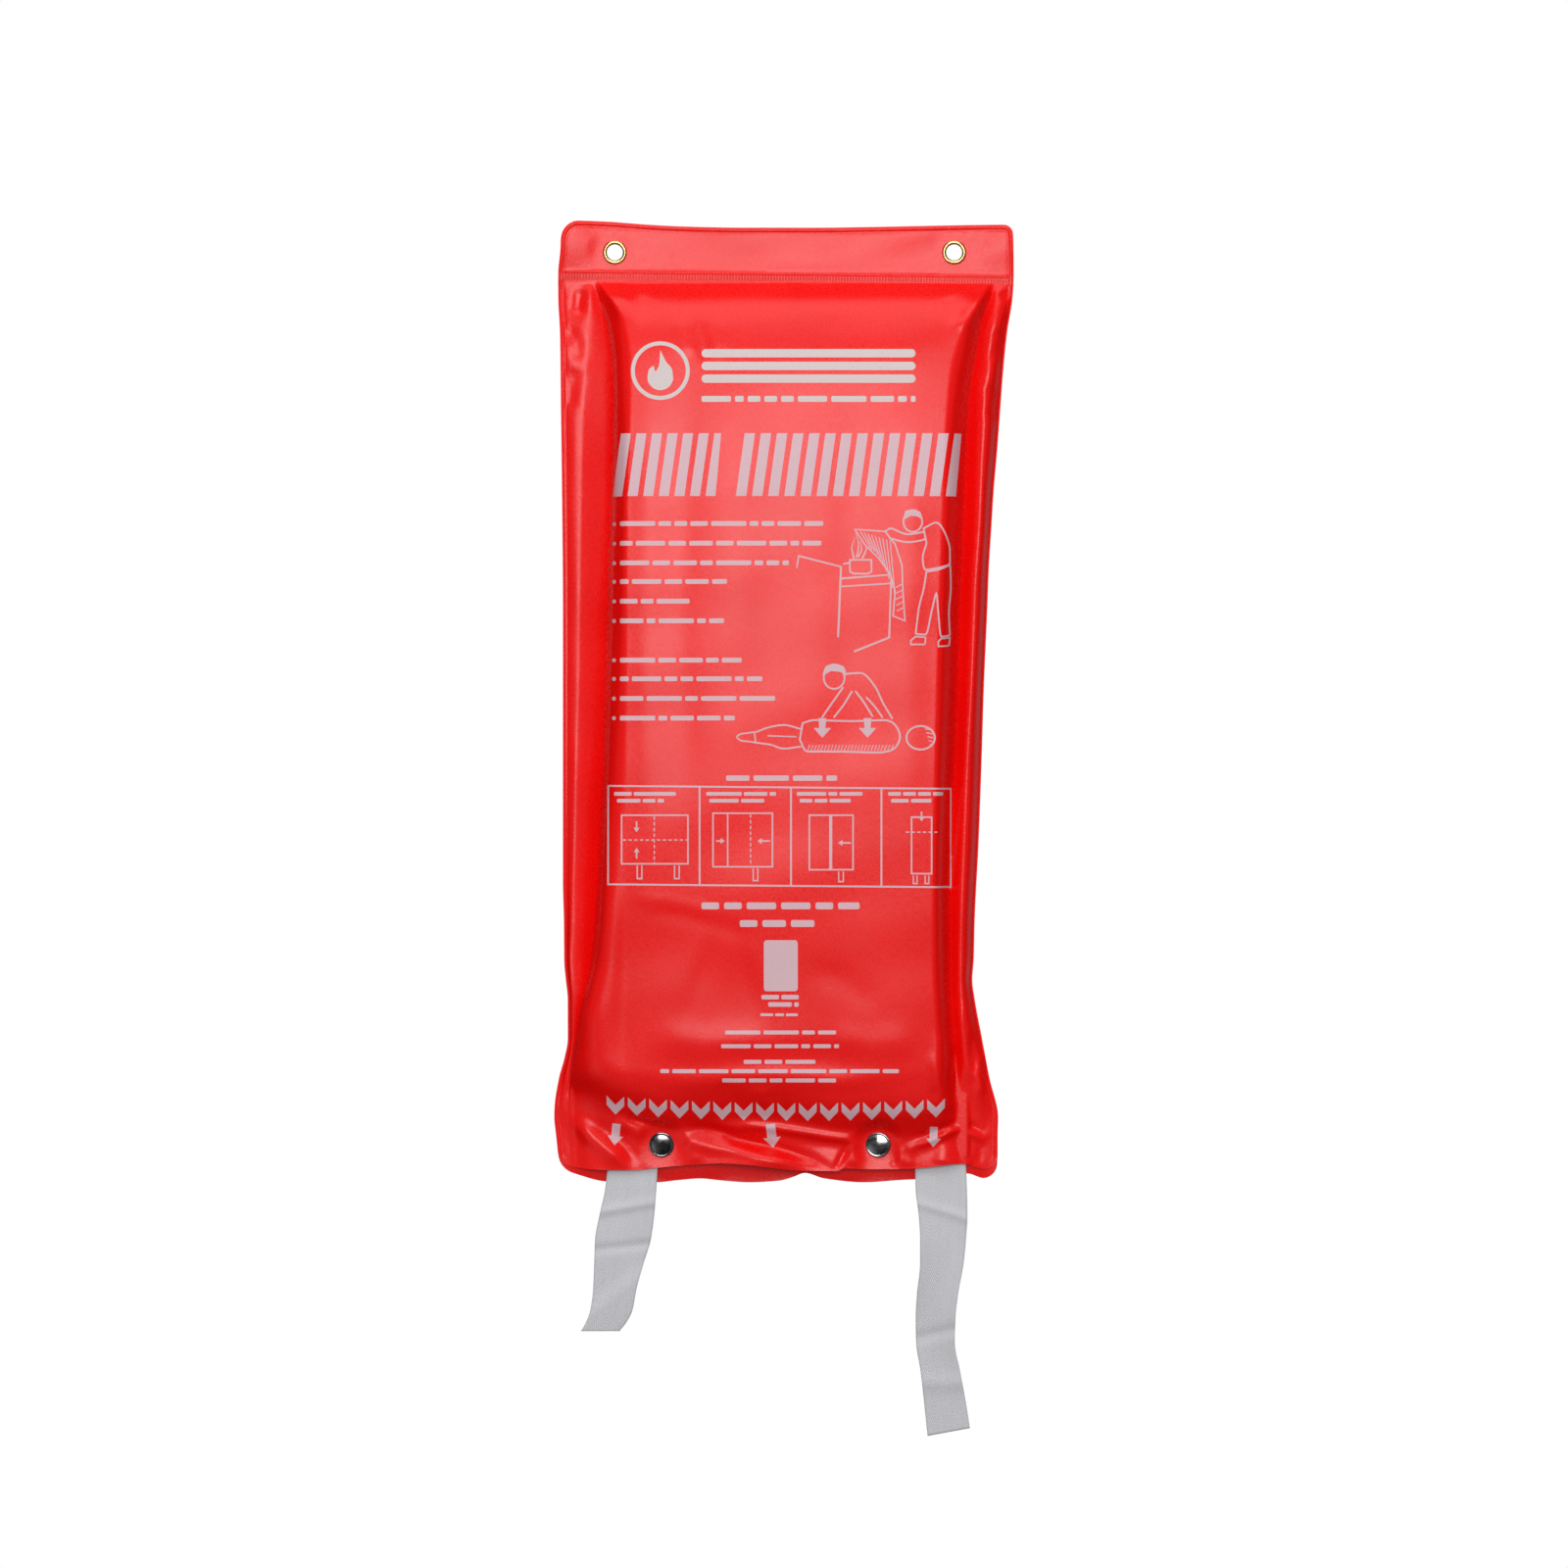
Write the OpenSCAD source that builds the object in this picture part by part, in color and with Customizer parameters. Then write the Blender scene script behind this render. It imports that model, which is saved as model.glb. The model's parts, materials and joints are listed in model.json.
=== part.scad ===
// Fire blanket in a soft wall pouch.
// Two welded PVC sheets hold a folded glass-cloth blanket. Two eyelets hang the pouch on the wall,
// two snap studs keep its bottom mouth shut, and two tapes hang out of the mouth to pull the
// blanket down.
// Frame: X to the right, -Y out of the wall, +Z up. The origin is midway between the eyelets, on
// the wall. Depths are distances in front of the wall, along -Y. Drops are distances along -Z.

/* [Pouch] */
// Flat width of the pouch at its top
pouch_w = 228; // [222:1:236]
// Height of the top edge above the eyelets' centre line
head_h = 15.4; // [13:0.2:20]
// Drop from the eyelets' centre line to the lower edge of the front sheet
front_drop = 459; // [456:0.5:463]
// How far the rear sheet hangs below the front sheet
rear_extra = 6; // [3:0.5:8]
// Corner radius at the top
corner_top = 6; // [3:0.5:9]
// Corner radius at the mouth
corner_mouth = 7; // [3:0.5:10]
// Thickness of one PVC sheet
sheet_t = 0.6; // [0.5:0.05:0.6]
// How much the filled right side pulls its edge in
waist_right = 19.5; // [15:0.5:21]
// How much the filled left side pulls its edge in
waist_left = 5; // [2:0.5:7]
// Depth of the front sheet over the folded blanket
pouch_depth = 28; // [28:0.1:30]
// Drop from the eyelets to the line where the front sheet bends open
bend_drop = 340; // [339:0.5:341]

/* [Hanging eyelets] */
// Distance between the two eyelets
eyelet_span = 170; // [160:1:176]
// Bore of an eyelet
eyelet_bore = 8; // [7.6:0.1:8.4]
// Outer diameter of the rolled flange
eyelet_flange = 12.2; // [11.6:0.1:13]

/* [Snap studs] */
// Drop from the eyelets to the studs
stud_drop = 447; // [446:0.5:448]
// Position of the left stud
stud_left_x = -61.6; // [-61.6:0.1:-56]
// Position of the right stud
stud_right_x = 46.8; // [40:0.1:58]
// Diameter of the visible cap
cap_d = 12.6; // [11.5:0.1:13.5]

/* [Folded blanket] */
// Width of the folded blanket
blanket_w = 180; // [168:1:180]
// Position of the folded blanket's middle
blanket_mid = -4; // [-4.5:0.1:-4]
// Thickness of the folded blanket
blanket_t = 20; // [17:0.5:20]
// Drop from the eyelets to the folded blanket's top
blanket_top = 28; // [28:0.5:34]
// Drop from the eyelets to the folded blanket's lower hem
blanket_tip = 410; // [404:0.5:410]

/* [Pull tapes] */
// Width of a tape
tape_w = 25; // [22:0.5:25]
// Thickness of a tape
tape_t = 1.2; // [0.8:0.1:1.2]
// Middle of the left tape at the mouth
tape_left_x = -79.1; // [-82:0.1:-79.1]
// Middle of the right tape at the mouth
tape_right_x = 78; // [70:0.1:78]
// Length of the left tape below its bend
tape_left_len = 74; // [60:1:110]
// Length of the right tape below its bend
tape_right_len = 126; // [90:1:140]
// Drop from the eyelets to the line where the tapes swing
swing_drop = 467; // [467:0.5:469]

/* [Hidden] */

red = [0.90, 0.12, 0.11];
brass = [0.80, 0.62, 0.30];
nickel = [0.78, 0.78, 0.80];
cloth = [0.93, 0.92, 0.88];
webbing = [0.92, 0.92, 0.91];
thread = [0.97, 0.97, 0.95];

// Depths of the stack
washer_front = 0.6;                      // washers and post flanges end here
rear_front = washer_front + sheet_t;     // front face of the rear sheet
weld_front = rear_front + sheet_t;       // front face of the front sheet where it is welded
mouth_inner = 5.0;                       // inner face of the front sheet at the closed mouth
mouth_outer = mouth_inner + sheet_t;
pocket_inner = pouch_depth - sheet_t;    // inner face of the front sheet over the blanket
blanket_back = 5.2;
blanket_front = blanket_back + blanket_t;

// Heights of the lower edges
front_low = -front_drop;
rear_low = -(front_drop + rear_extra);

// Bounds of solids that other shapes trim
trim_x = 140;
trim_top = 40;
trim_low = -490;
cut_over = 0.4;                          // how far the pocket hollow cuts behind the front sheet
round_fn = 72;

// ---- Shared shapes ----
// Points [first + radius * cos, second + radius * sin] about a centre
function arc(centre, radius, angles) =
    [for (a = angles) centre + radius * [cos(a), sin(a)]];
// Turns depths in the chosen column's place into Y
function side_points(points) = [for (p = points) [-p[0], p[1]]];
function section_points(points) = [for (p = points) [p[0], -p[1]]];

// Extrudes an outline drawn in X and Z between two depths
module plate(back, front) {
    translate([0, -back, 0]) rotate([90, 0, 0]) linear_extrude(front - back) children();
}
// Extrudes a side profile of [depth, z] points between two X positions
module side_bar(x0, x1, points) {
    translate([x0, 0, 0]) rotate([90, 0, 90]) linear_extrude(x1 - x0)
        polygon(side_points(points));
}
// Extrudes a level section of [x, depth] points from below the pouch up to a height
module upright(points, top) {
    low = -500;
    translate([0, 0, low]) linear_extrude(top - low) polygon(section_points(points));
}
// Turns a profile of [radius, depth] points about an axis square to the wall
module turned(x, z, points) {
    translate([x, 0, z]) rotate([90, 0, 0]) rotate_extrude($fn = round_fn) polygon(points);
}
module hole(x, z, radius) {
    translate([x, 0.5, z]) rotate([90, 0, 0]) cylinder(r = radius, h = 40, $fn = round_fn);
}
// One stitch between two depths, given its [x, z] middle and size
module stitch(back, front, middle, size) {
    plate(back, front) translate(middle - size / 2) square(size);
}

// ---- Pouch sheets ----
eyelet_x = eyelet_span / 2;
bore_r = eyelet_bore / 2;
barrel_r = bore_r + 0.45;
post_hole_r = 1.25;
shank_hole_r = 1.55;

// Inset of each side edge from the flat width: [z, inset]
left_inset = [
    [-465, -0.8], [-433, -1.4], [-405, waist_left * 0.7], [-385, waist_left],
    [-335, waist_left * 0.7], [-178, waist_left * 0.5], [-41, 1.0], [15, 0.5]];
right_inset = [
    [-465, waist_right * 0.5], [-452, waist_right * 0.38], [-433, waist_right * 0.38],
    [-413, waist_right * 0.6], [-394, waist_right * 0.8], [-355, waist_right],
    [-256, waist_right * 0.82], [-119, waist_right * 0.5], [-41, waist_right * 0.13],
    [-13, 0], [15, 0.5]];

// Inset of a rounded corner at a distance from the edge it meets
function corner_inset(distance, radius) =
    distance < radius ? radius - sqrt(max(0, radius * radius - pow(radius - distance, 2))) : 0;
// Distance of a side edge from X = 0
function edge_x(z, low, inset) =
    pouch_w / 2 - lookup(z, inset)
    - corner_inset(head_h - z, corner_top) - corner_inset(z - low, corner_mouth);
// Outline stations from the top down: top corner, straight run, mouth corner
function heights(low) = [
    for (a = [0:15:90]) head_h - corner_top * (1 - cos(a)),
    for (z = [head_h - corner_top - 12:-18:low + corner_mouth + 8]) z,
    for (a = [90:-15:0]) low + corner_mouth * (1 - cos(a))];

module outline(low) {
    down = heights(low);
    polygon([
        for (z = down) [-edge_x(z, low, left_inset), z],
        for (i = [len(down) - 1:-1:0]) [edge_x(down[i], low, right_inset), down[i]]]);
}

module sheet_holes(stud_hole_r) {
    for (x = [-eyelet_x, eyelet_x]) hole(x, 0, barrel_r);
    for (x = [stud_left_x, stud_right_x]) hole(x, -stud_drop, stud_hole_r);
}

module back_panel() {
    color(red) difference() {
        plate(washer_front, rear_front) outline(rear_low);
        sheet_holes(post_hole_r);
    }
}

// The pocket's sides slope from a foot on the weld to a shoulder at the flat front
left_foot = -108;
left_shoulder = -90.2;
right_shoulder = blanket_mid + blanket_w / 2 - 1;
right_foot = right_shoulder + 8.5;
shoulder_drop = 2.5;                     // depth taken up by the bevel at a shoulder
slope_low = -438;                        // where the front slope reaches the mouth

// Level sections of the pocket: [x, depth]
section_outer = [
    [-trim_x, rear_front], [-trim_x, weld_front], [left_foot, weld_front],
    [left_shoulder - 2, pouch_depth - shoulder_drop], [left_shoulder + 2, pouch_depth],
    [right_shoulder - 2, pouch_depth], [right_shoulder + 0.6, pouch_depth - shoulder_drop],
    [right_foot, weld_front], [trim_x, weld_front], [trim_x, rear_front]];
section_inner = [
    [left_foot + 0.8, rear_front - cut_over], [left_foot + 0.8, rear_front],
    [left_shoulder - 1.5, pocket_inner - shoulder_drop], [left_shoulder + 2.2, pocket_inner],
    [right_shoulder - 2.2, pocket_inner], [right_shoulder, pocket_inner - shoulder_drop],
    [right_foot - 0.7, rear_front], [right_foot - 0.7, rear_front - cut_over]];
// Side profiles from the top down: header, top slope, flat front, slope to the mouth: [depth, z]
profile_outer = [
    [rear_front, trim_top], [weld_front, trim_top], [weld_front, -16],
    [pouch_depth - 3, -34], [pouch_depth, -42], [pouch_depth, -bend_drop],
    [mouth_outer, slope_low], [mouth_outer, trim_low], [rear_front, trim_low]];
profile_inner = [
    [rear_front - cut_over, -16.8], [rear_front, -16.8],
    [pocket_inner - 3, -34.6], [pocket_inner, -42.4], [pocket_inner, -bend_drop],
    [mouth_inner, slope_low], [mouth_inner, trim_low], [rear_front - cut_over, trim_low]];

module front_sheet() {
    section_top = 60;
    difference() {
        intersection() {
            side_bar(-trim_x, trim_x, profile_outer);
            upright(section_outer, section_top);
            plate(0.2, 40) outline(front_low);
        }
        intersection() {
            side_bar(-trim_x, trim_x, profile_inner);
            upright(section_inner, section_top);
        }
        sheet_holes(shank_hole_r);
    }
}
// The part of the front sheet in a band of heights
module front_band(low, height) {
    intersection() {
        front_sheet();
        translate([-150, -60, low]) cube([300, 80, height]);
    }
}
bend_gap = 0.1;                          // clearance on each side of the bend line

module front_panel() {
    weld_margin = 2;
    color(red) union() {
        front_band(-bend_drop + bend_gap, 600);
        // raised weld band across the top of the pocket
        plate(weld_front - 0.05, weld_front + 0.15)
            translate([-pouch_w / 2 + weld_margin, -15.6])
                square([pouch_w - 2 * weld_margin, 3.2]);
    }
}
module front_lip() {
    height = 300;
    color(red) front_band(-bend_drop - bend_gap - height, height);
}

// ---- Eyelets: a barrel with a rolled front flange, curled over a washer behind the sheets ----
flange_r = eyelet_flange / 2;

module eyelet(x) {
    lip_r = 0.6;
    rim_r = 0.7;
    color(brass) turned(x, 0, [
        [bore_r, 0.25], [bore_r, weld_front + 0.55],
        each arc([bore_r + lip_r, weld_front + 0.55], lip_r, [180:-15:90]),
        [flange_r - 0.9, weld_front + 0.95],
        each arc([flange_r - rim_r, weld_front + 0.2], rim_r, [75:-25:0]),
        [flange_r, weld_front], [barrel_r, weld_front], [barrel_r, 0.25],
        [barrel_r + 0.9, 0.25], [barrel_r + 0.9, 0.1], [barrel_r + 0.75, 0],
        [bore_r + 0.25, 0]]);
}
module eyelet_washer(x) {
    color(brass) turned(x, 0, [
        [barrel_r + 0.02, 0.25], [barrel_r + 0.02, washer_front],
        [flange_r + 0.2, washer_front], [flange_r + 0.2, 0.35], [flange_r - 0.1, 0.1],
        [barrel_r + 1.3, 0.1], [barrel_r + 1.2, 0.25]]);
}

// ---- Snap studs ----
shank_end = 4.6;                         // depth where the cap's shank spreads into its rivet head

// Cap on the outside of the front sheet, with a shank riveted inside the socket
module stud_cap(x) {
    cap_r = cap_d / 2;
    shank_r = 1.5;
    rivet_r = 1.9;
    rim_r = 0.5;
    dome_r = cap_r - 0.9;
    dome_h = 0.7;
    dome_steps = 8;
    color(nickel) turned(x, -stud_drop, [
        [0, 4.42], [rivet_r, 4.42], [rivet_r, shank_end], [shank_r, shank_end],
        [shank_r, mouth_outer], [cap_r - rim_r, mouth_outer],
        each arc([cap_r - rim_r, mouth_outer + rim_r], rim_r, [-60:30:90]),
        for (k = [1:dome_steps])
            [dome_r * (1 - k / dome_steps),
             mouth_outer + 0.92 + dome_h * (1 - pow(1 - k / dome_steps, 2))]]);
}
module stud_socket(x) {
    color(nickel) turned(x, -stud_drop, [
        [shank_hole_r, shank_end], [shank_hole_r, mouth_inner], [4.3, mouth_inner],
        [4.6, 4.8], [4.6, 3.9], [3.5, 3.7], [3.4, 2.6], [3.2, 2.4],
        [2.5, 2.4], [2.5, 2.62], [2.62, 2.68], [2.62, shank_end]]);
}
// Ring spring that grips the neck of the ball
module stud_spring(x) {
    ring_r = 2.18;
    wire_r = 0.32;
    ring_depth = 3.05;
    color(nickel) translate([x, 0, -stud_drop]) rotate([90, 0, 0]) translate([0, 0, ring_depth])
        rotate_extrude($fn = round_fn) translate([ring_r, 0]) circle(r = wire_r, $fn = 24);
}
// Ball half on the rear sheet, hollow for the post
module stud_ball(x) {
    base_r = 4.6;
    color(nickel) turned(x, -stud_drop, [
        [post_hole_r, rear_front], [post_hole_r, 3.7], [0, 3.7], [0, 4.2], [0.9, 4.2],
        [1.5, 4.1], [1.9, 3.9], [2.0, 3.72], [1.95, 3.5], [1.75, 3.3],
        [1.72, 2.4], [2.0, 2.2], [4.3, 2.0], [base_r, 1.75], [base_r, rear_front]]);
}
// Post that rivets the ball half to the rear sheet
module stud_post(x) {
    post_r = 1.2;
    base_r = 4.75;
    color(nickel) turned(x, -stud_drop, [
        [0, 0.15], [1.1, 0.15], [1.4, 0], [4.4, 0], [base_r, 0.25], [base_r, washer_front],
        [post_r, washer_front], [post_r, 3.4], [1.0, 3.6], [0, 3.6]]);
}

// ---- Folded blanket ----
blanket_left = blanket_mid - blanket_w / 2;
blanket_right = blanket_mid + blanket_w / 2;
hem_front = blanket_back + 2;

// Front of the folded blanket from the top down: [share of its thickness, z]
blanket_face = [
    [0.25, -blanket_top], [0.575, -blanket_top - 4], [0.85, -blanket_top - 12],
    [1, -blanket_top - 28], [1, -238], [0.93, -278], [0.78, -318], [0.66, -342],
    [0.53, -360], [0.37, -378], [0.23, -393]];
// Side profile: [depth, z]
blanket_profile = [
    [blanket_back, -blanket_top - 3], [blanket_back + 2, -blanket_top],
    for (p = blanket_face) [blanket_back + blanket_t * p[0], p[1]],
    [hem_front, -396.5], [hem_front, -blanket_tip + 0.8],
    [blanket_back + 1.4, -blanket_tip], [blanket_back + 0.4, -blanket_tip],
    [blanket_back, -blanket_tip + 0.4]];
// Level section with rounded corners: [x, depth]
fold_r = 9;
back_r = 3;
blanket_section = [
    each arc([blanket_left + fold_r, blanket_front - fold_r], fold_r, [180:-15:90]),
    each arc([blanket_right - fold_r, blanket_front - fold_r], fold_r, [90:-15:0]),
    each arc([blanket_right - back_r, blanket_back + back_r], back_r, [0:-30:-90]),
    each arc([blanket_left + back_r, blanket_back + back_r], back_r, [-90:-30:-180])];

module folded_blanket() {
    color(cloth) intersection() {
        side_bar(blanket_left - 5, blanket_right + 5, blanket_profile);
        upright(blanket_section, 0);
    }
}
module hem_stitching() {
    margin = 10;
    pitch = 7;
    last = floor((blanket_w - 2 * margin) / pitch);
    color(thread) for (i = [0:last])
        stitch(hem_front, hem_front + 0.3,
               [blanket_left + margin + i * pitch, -403.65], [3.6, 0.7]);
}

// ---- Pull tapes ----
tape_back = blanket_back - tape_t;       // back of a tape where it lies on the blanket
tape_step = 0.6;                         // how far a tape steps to the wall below the blanket
swing_gap = 0.8;                         // clearance between a tape's root and its tail

module tape_root(x) {
    top = -362;
    step_top = -402;
    step_low = -408;
    color(webbing) side_bar(x - tape_w / 2, x + tape_w / 2, [
        [blanket_back, top], [blanket_back, step_top],
        [blanket_back - tape_step, step_low], [blanket_back - tape_step, -swing_drop],
        [tape_back - tape_step, -swing_drop], [tape_back - tape_step, step_low],
        [tape_back, step_top], [tape_back, top]]);
}

// Tail outlines: [edge, -1 left or 1 right; shift in X from that edge; share of the tail's length]
left_tail = [
    [-1, 0, 0], [1, 0, 0], [1, -0.6, 0.3], [1, -9, 0.86], [1, -15, 0.985],
    [-1, -9, 1], [-1, -5.6, 0.86], [-1, -3.8, 0.6], [-1, -2, 0.3]];
right_tail = [
    [-1, 0, 0], [1, 0, 0], [1, 0.6, 0.12], [1, -1, 0.28], [1, -5, 0.58], [1, -1.6, 0.74],
    [1, 2.2, 0.97], [1, -3, 0.975],
    [-1, 7, 1], [-1, 4, 0.82], [-1, 0.6, 0.62], [-1, 1, 0.4], [-1, 2.4, 0.3]];

module tape_tail(x, length, tail) {
    top = -swing_drop - swing_gap;
    color(webbing) plate(tape_back - tape_step, blanket_back - tape_step)
        polygon([for (p = tail)
            [x + p[0] * tape_w / 2 + p[1], top - (length - swing_gap) * p[2]]]);
}
module tape_tail_left() {
    tape_tail(tape_left_x, tape_left_len, left_tail);
}
module tape_tail_right() {
    tape_tail(tape_right_x, tape_right_len, right_tail);
}

// Box of stitches that holds a tape to the rear of the blanket
module tape_stitching(x) {
    back = tape_back - 0.25;
    box_w = tape_w - 7;
    long = 2.6;
    wide = 0.6;
    color(thread) {
        for (i = [0:4], z = [-366, -396])
            stitch(back, tape_back, [x - box_w / 2 + (i + 0.5) * box_w / 5, z], [long, wide]);
        for (i = [0:6], side = [-1, 1])
            stitch(back, tape_back, [x + side * box_w / 2, -368 - i * 4.4], [wide, long]);
    }
}

back_panel();
front_panel();
front_lip();
eyelet(-eyelet_x);  // eyelet_left
eyelet(eyelet_x);  // eyelet_right
eyelet_washer(-eyelet_x);  // eyelet_washer_left
eyelet_washer(eyelet_x);  // eyelet_washer_right
stud_cap(stud_left_x);  // stud_cap_left
stud_cap(stud_right_x);  // stud_cap_right
stud_socket(stud_left_x);  // stud_socket_left
stud_socket(stud_right_x);  // stud_socket_right
stud_spring(stud_left_x);  // stud_spring_left
stud_spring(stud_right_x);  // stud_spring_right
stud_ball(stud_left_x);  // stud_ball_left
stud_ball(stud_right_x);  // stud_ball_right
stud_post(stud_left_x);  // stud_post_left
stud_post(stud_right_x);  // stud_post_right
folded_blanket();
hem_stitching();
tape_root(tape_left_x);  // tape_root_left
tape_root(tape_right_x);  // tape_root_right
tape_tail_left();
tape_tail_right();
tape_stitching(tape_left_x);  // tape_stitching_left
tape_stitching(tape_right_x);  // tape_stitching_right
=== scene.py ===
import bpy, json, math
import numpy as np
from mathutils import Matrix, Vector
from mathutils.geometry import delaunay_2d_cdt
from mathutils.kdtree import KDTree


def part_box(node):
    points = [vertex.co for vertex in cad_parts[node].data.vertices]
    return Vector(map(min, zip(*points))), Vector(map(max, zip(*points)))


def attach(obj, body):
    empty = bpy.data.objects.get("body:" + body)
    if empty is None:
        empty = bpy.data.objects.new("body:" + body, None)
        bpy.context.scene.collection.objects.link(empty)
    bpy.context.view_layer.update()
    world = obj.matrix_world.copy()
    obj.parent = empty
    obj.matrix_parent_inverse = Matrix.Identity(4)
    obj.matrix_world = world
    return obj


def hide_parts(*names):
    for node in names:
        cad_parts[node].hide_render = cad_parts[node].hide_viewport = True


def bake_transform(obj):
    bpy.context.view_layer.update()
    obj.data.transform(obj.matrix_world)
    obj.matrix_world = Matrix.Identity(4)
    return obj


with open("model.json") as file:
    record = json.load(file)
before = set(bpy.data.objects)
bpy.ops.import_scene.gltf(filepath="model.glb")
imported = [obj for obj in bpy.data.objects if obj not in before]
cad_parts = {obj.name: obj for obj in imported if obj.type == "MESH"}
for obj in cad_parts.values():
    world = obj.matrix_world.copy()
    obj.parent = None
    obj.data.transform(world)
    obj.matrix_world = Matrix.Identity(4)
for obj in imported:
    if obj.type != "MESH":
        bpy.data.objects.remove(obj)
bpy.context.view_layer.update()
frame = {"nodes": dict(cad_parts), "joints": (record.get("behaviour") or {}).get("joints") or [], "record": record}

MM = 0.001
U = 0.49                                    # one unit of the layout grid, in mm


def gx(a):
    return (np.asarray(a, float) - 800.5) * U


def gz(b):
    return -(np.asarray(b, float) - 256.5) * U


def centre(node):
    lo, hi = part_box(node)
    return (lo + hi) * 500.0                # mm


def unit(v):
    return v / max(np.linalg.norm(v), 1e-12)


EYE = [centre("eyelet_left"), centre("eyelet_right")]
STUD = [centre("stud_cap_left"), centre("stud_cap_right")]


def curve(t, table, col=1):
    """Monotone cubic through (key, value) rows."""
    k = np.array([r[0] for r in table], float)
    v = np.array([r[col] for r in table], float)
    h = np.diff(k)
    dl = np.diff(v) / h
    m = np.zeros(len(k))
    m[0], m[-1] = dl[0], dl[-1]
    same = dl[:-1] * dl[1:] > 0
    with np.errstate(divide="ignore", invalid="ignore"):
        hm = 2 * dl[:-1] * dl[1:] / (dl[:-1] + dl[1:])
    m[1:-1] = np.where(same, hm, 0)
    t = np.clip(np.asarray(t, float), k[0], k[-1])
    i = np.clip(np.searchsorted(k, t, side="right") - 1, 0, len(h) - 1)
    s = (t - k[i]) / h[i]
    return herm(s, v[i], v[i + 1], m[i] * h[i], m[i + 1] * h[i])


def herm(s, a, b, ma, mb):
    s2, s3 = s * s, s * s * s
    return a * (2 * s3 - 3 * s2 + 1) + ma * (s3 - 2 * s2 + s) + b * (3 * s2 - 2 * s3) + mb * (s3 - s2)


def smooth(t):
    t = np.clip(t, 0, 1)
    return t * t * (3 - 2 * t)


# ------------------------------------------------------------------ pouch outline (layout grid)
EDGE_L = [(224, 572), (250, 571.5), (280, 569), (300, 569), (340, 571), (420, 572), (500, 573), (620, 574), (780, 574), (900, 574),
          (940, 575), (980, 575.3), (1000, 577), (1020, 579), (1060, 579), (1080, 575.5), (1100, 570), (1128, 565.5), (1140, 565), (1160, 567), (1180, 569), (1210, 572)]
EDGE_R = [(224, 1033), (240, 1034.5), (280, 1035), (300, 1034), (340, 1028), (380, 1024), (420, 1021), (460, 1018), (500, 1014.5), (540, 1012), (580, 1009.5),
          (620, 1008), (700, 1004.5), (780, 1002), (860, 999), (940, 995), (980, 994), (1000, 992.5), (1020, 995), (1060, 1002.5), (1100, 1010), (1141, 1019),
          (1160, 1018.5), (1180, 1018.5), (1210, 1017)]
TOP = [(565, 223.5), (590, 224), (620, 225), (660, 228), (700, 230), (760, 231.3), (820, 231.3), (900, 230.3), (960, 229), (1000, 228.3), (1040, 228)]
FRONT_LOW = [(560, 1188.5), (575, 1190), (600, 1193.5), (621, 1194.5), (645, 1194.5), (671, 1192), (703, 1189.3), (738, 1187.5), (764, 1189), (789, 1192), (819, 1195), (855, 1195.3),
             (861, 1192.6), (889, 1193.6), (931, 1193), (951, 1191), (976, 1188.3), (986, 1188.4), (996, 1192), (1005, 1193.6), (1020, 1194)]
BACK_LOW = [(560, 1192), (575, 1195.5), (621, 1207), (671, 1207.6), (690, 1205.6), (715, 1203.7), (735, 1205.7), (765, 1207.7), (795, 1206), (811, 1201.6), (821, 1198),
            (841, 1203.6), (882, 1207.7), (915, 1205.6), (960, 1203), (987, 1198.5), (1005, 1203.6), (1014, 1203.5), (1022, 1203)]


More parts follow.
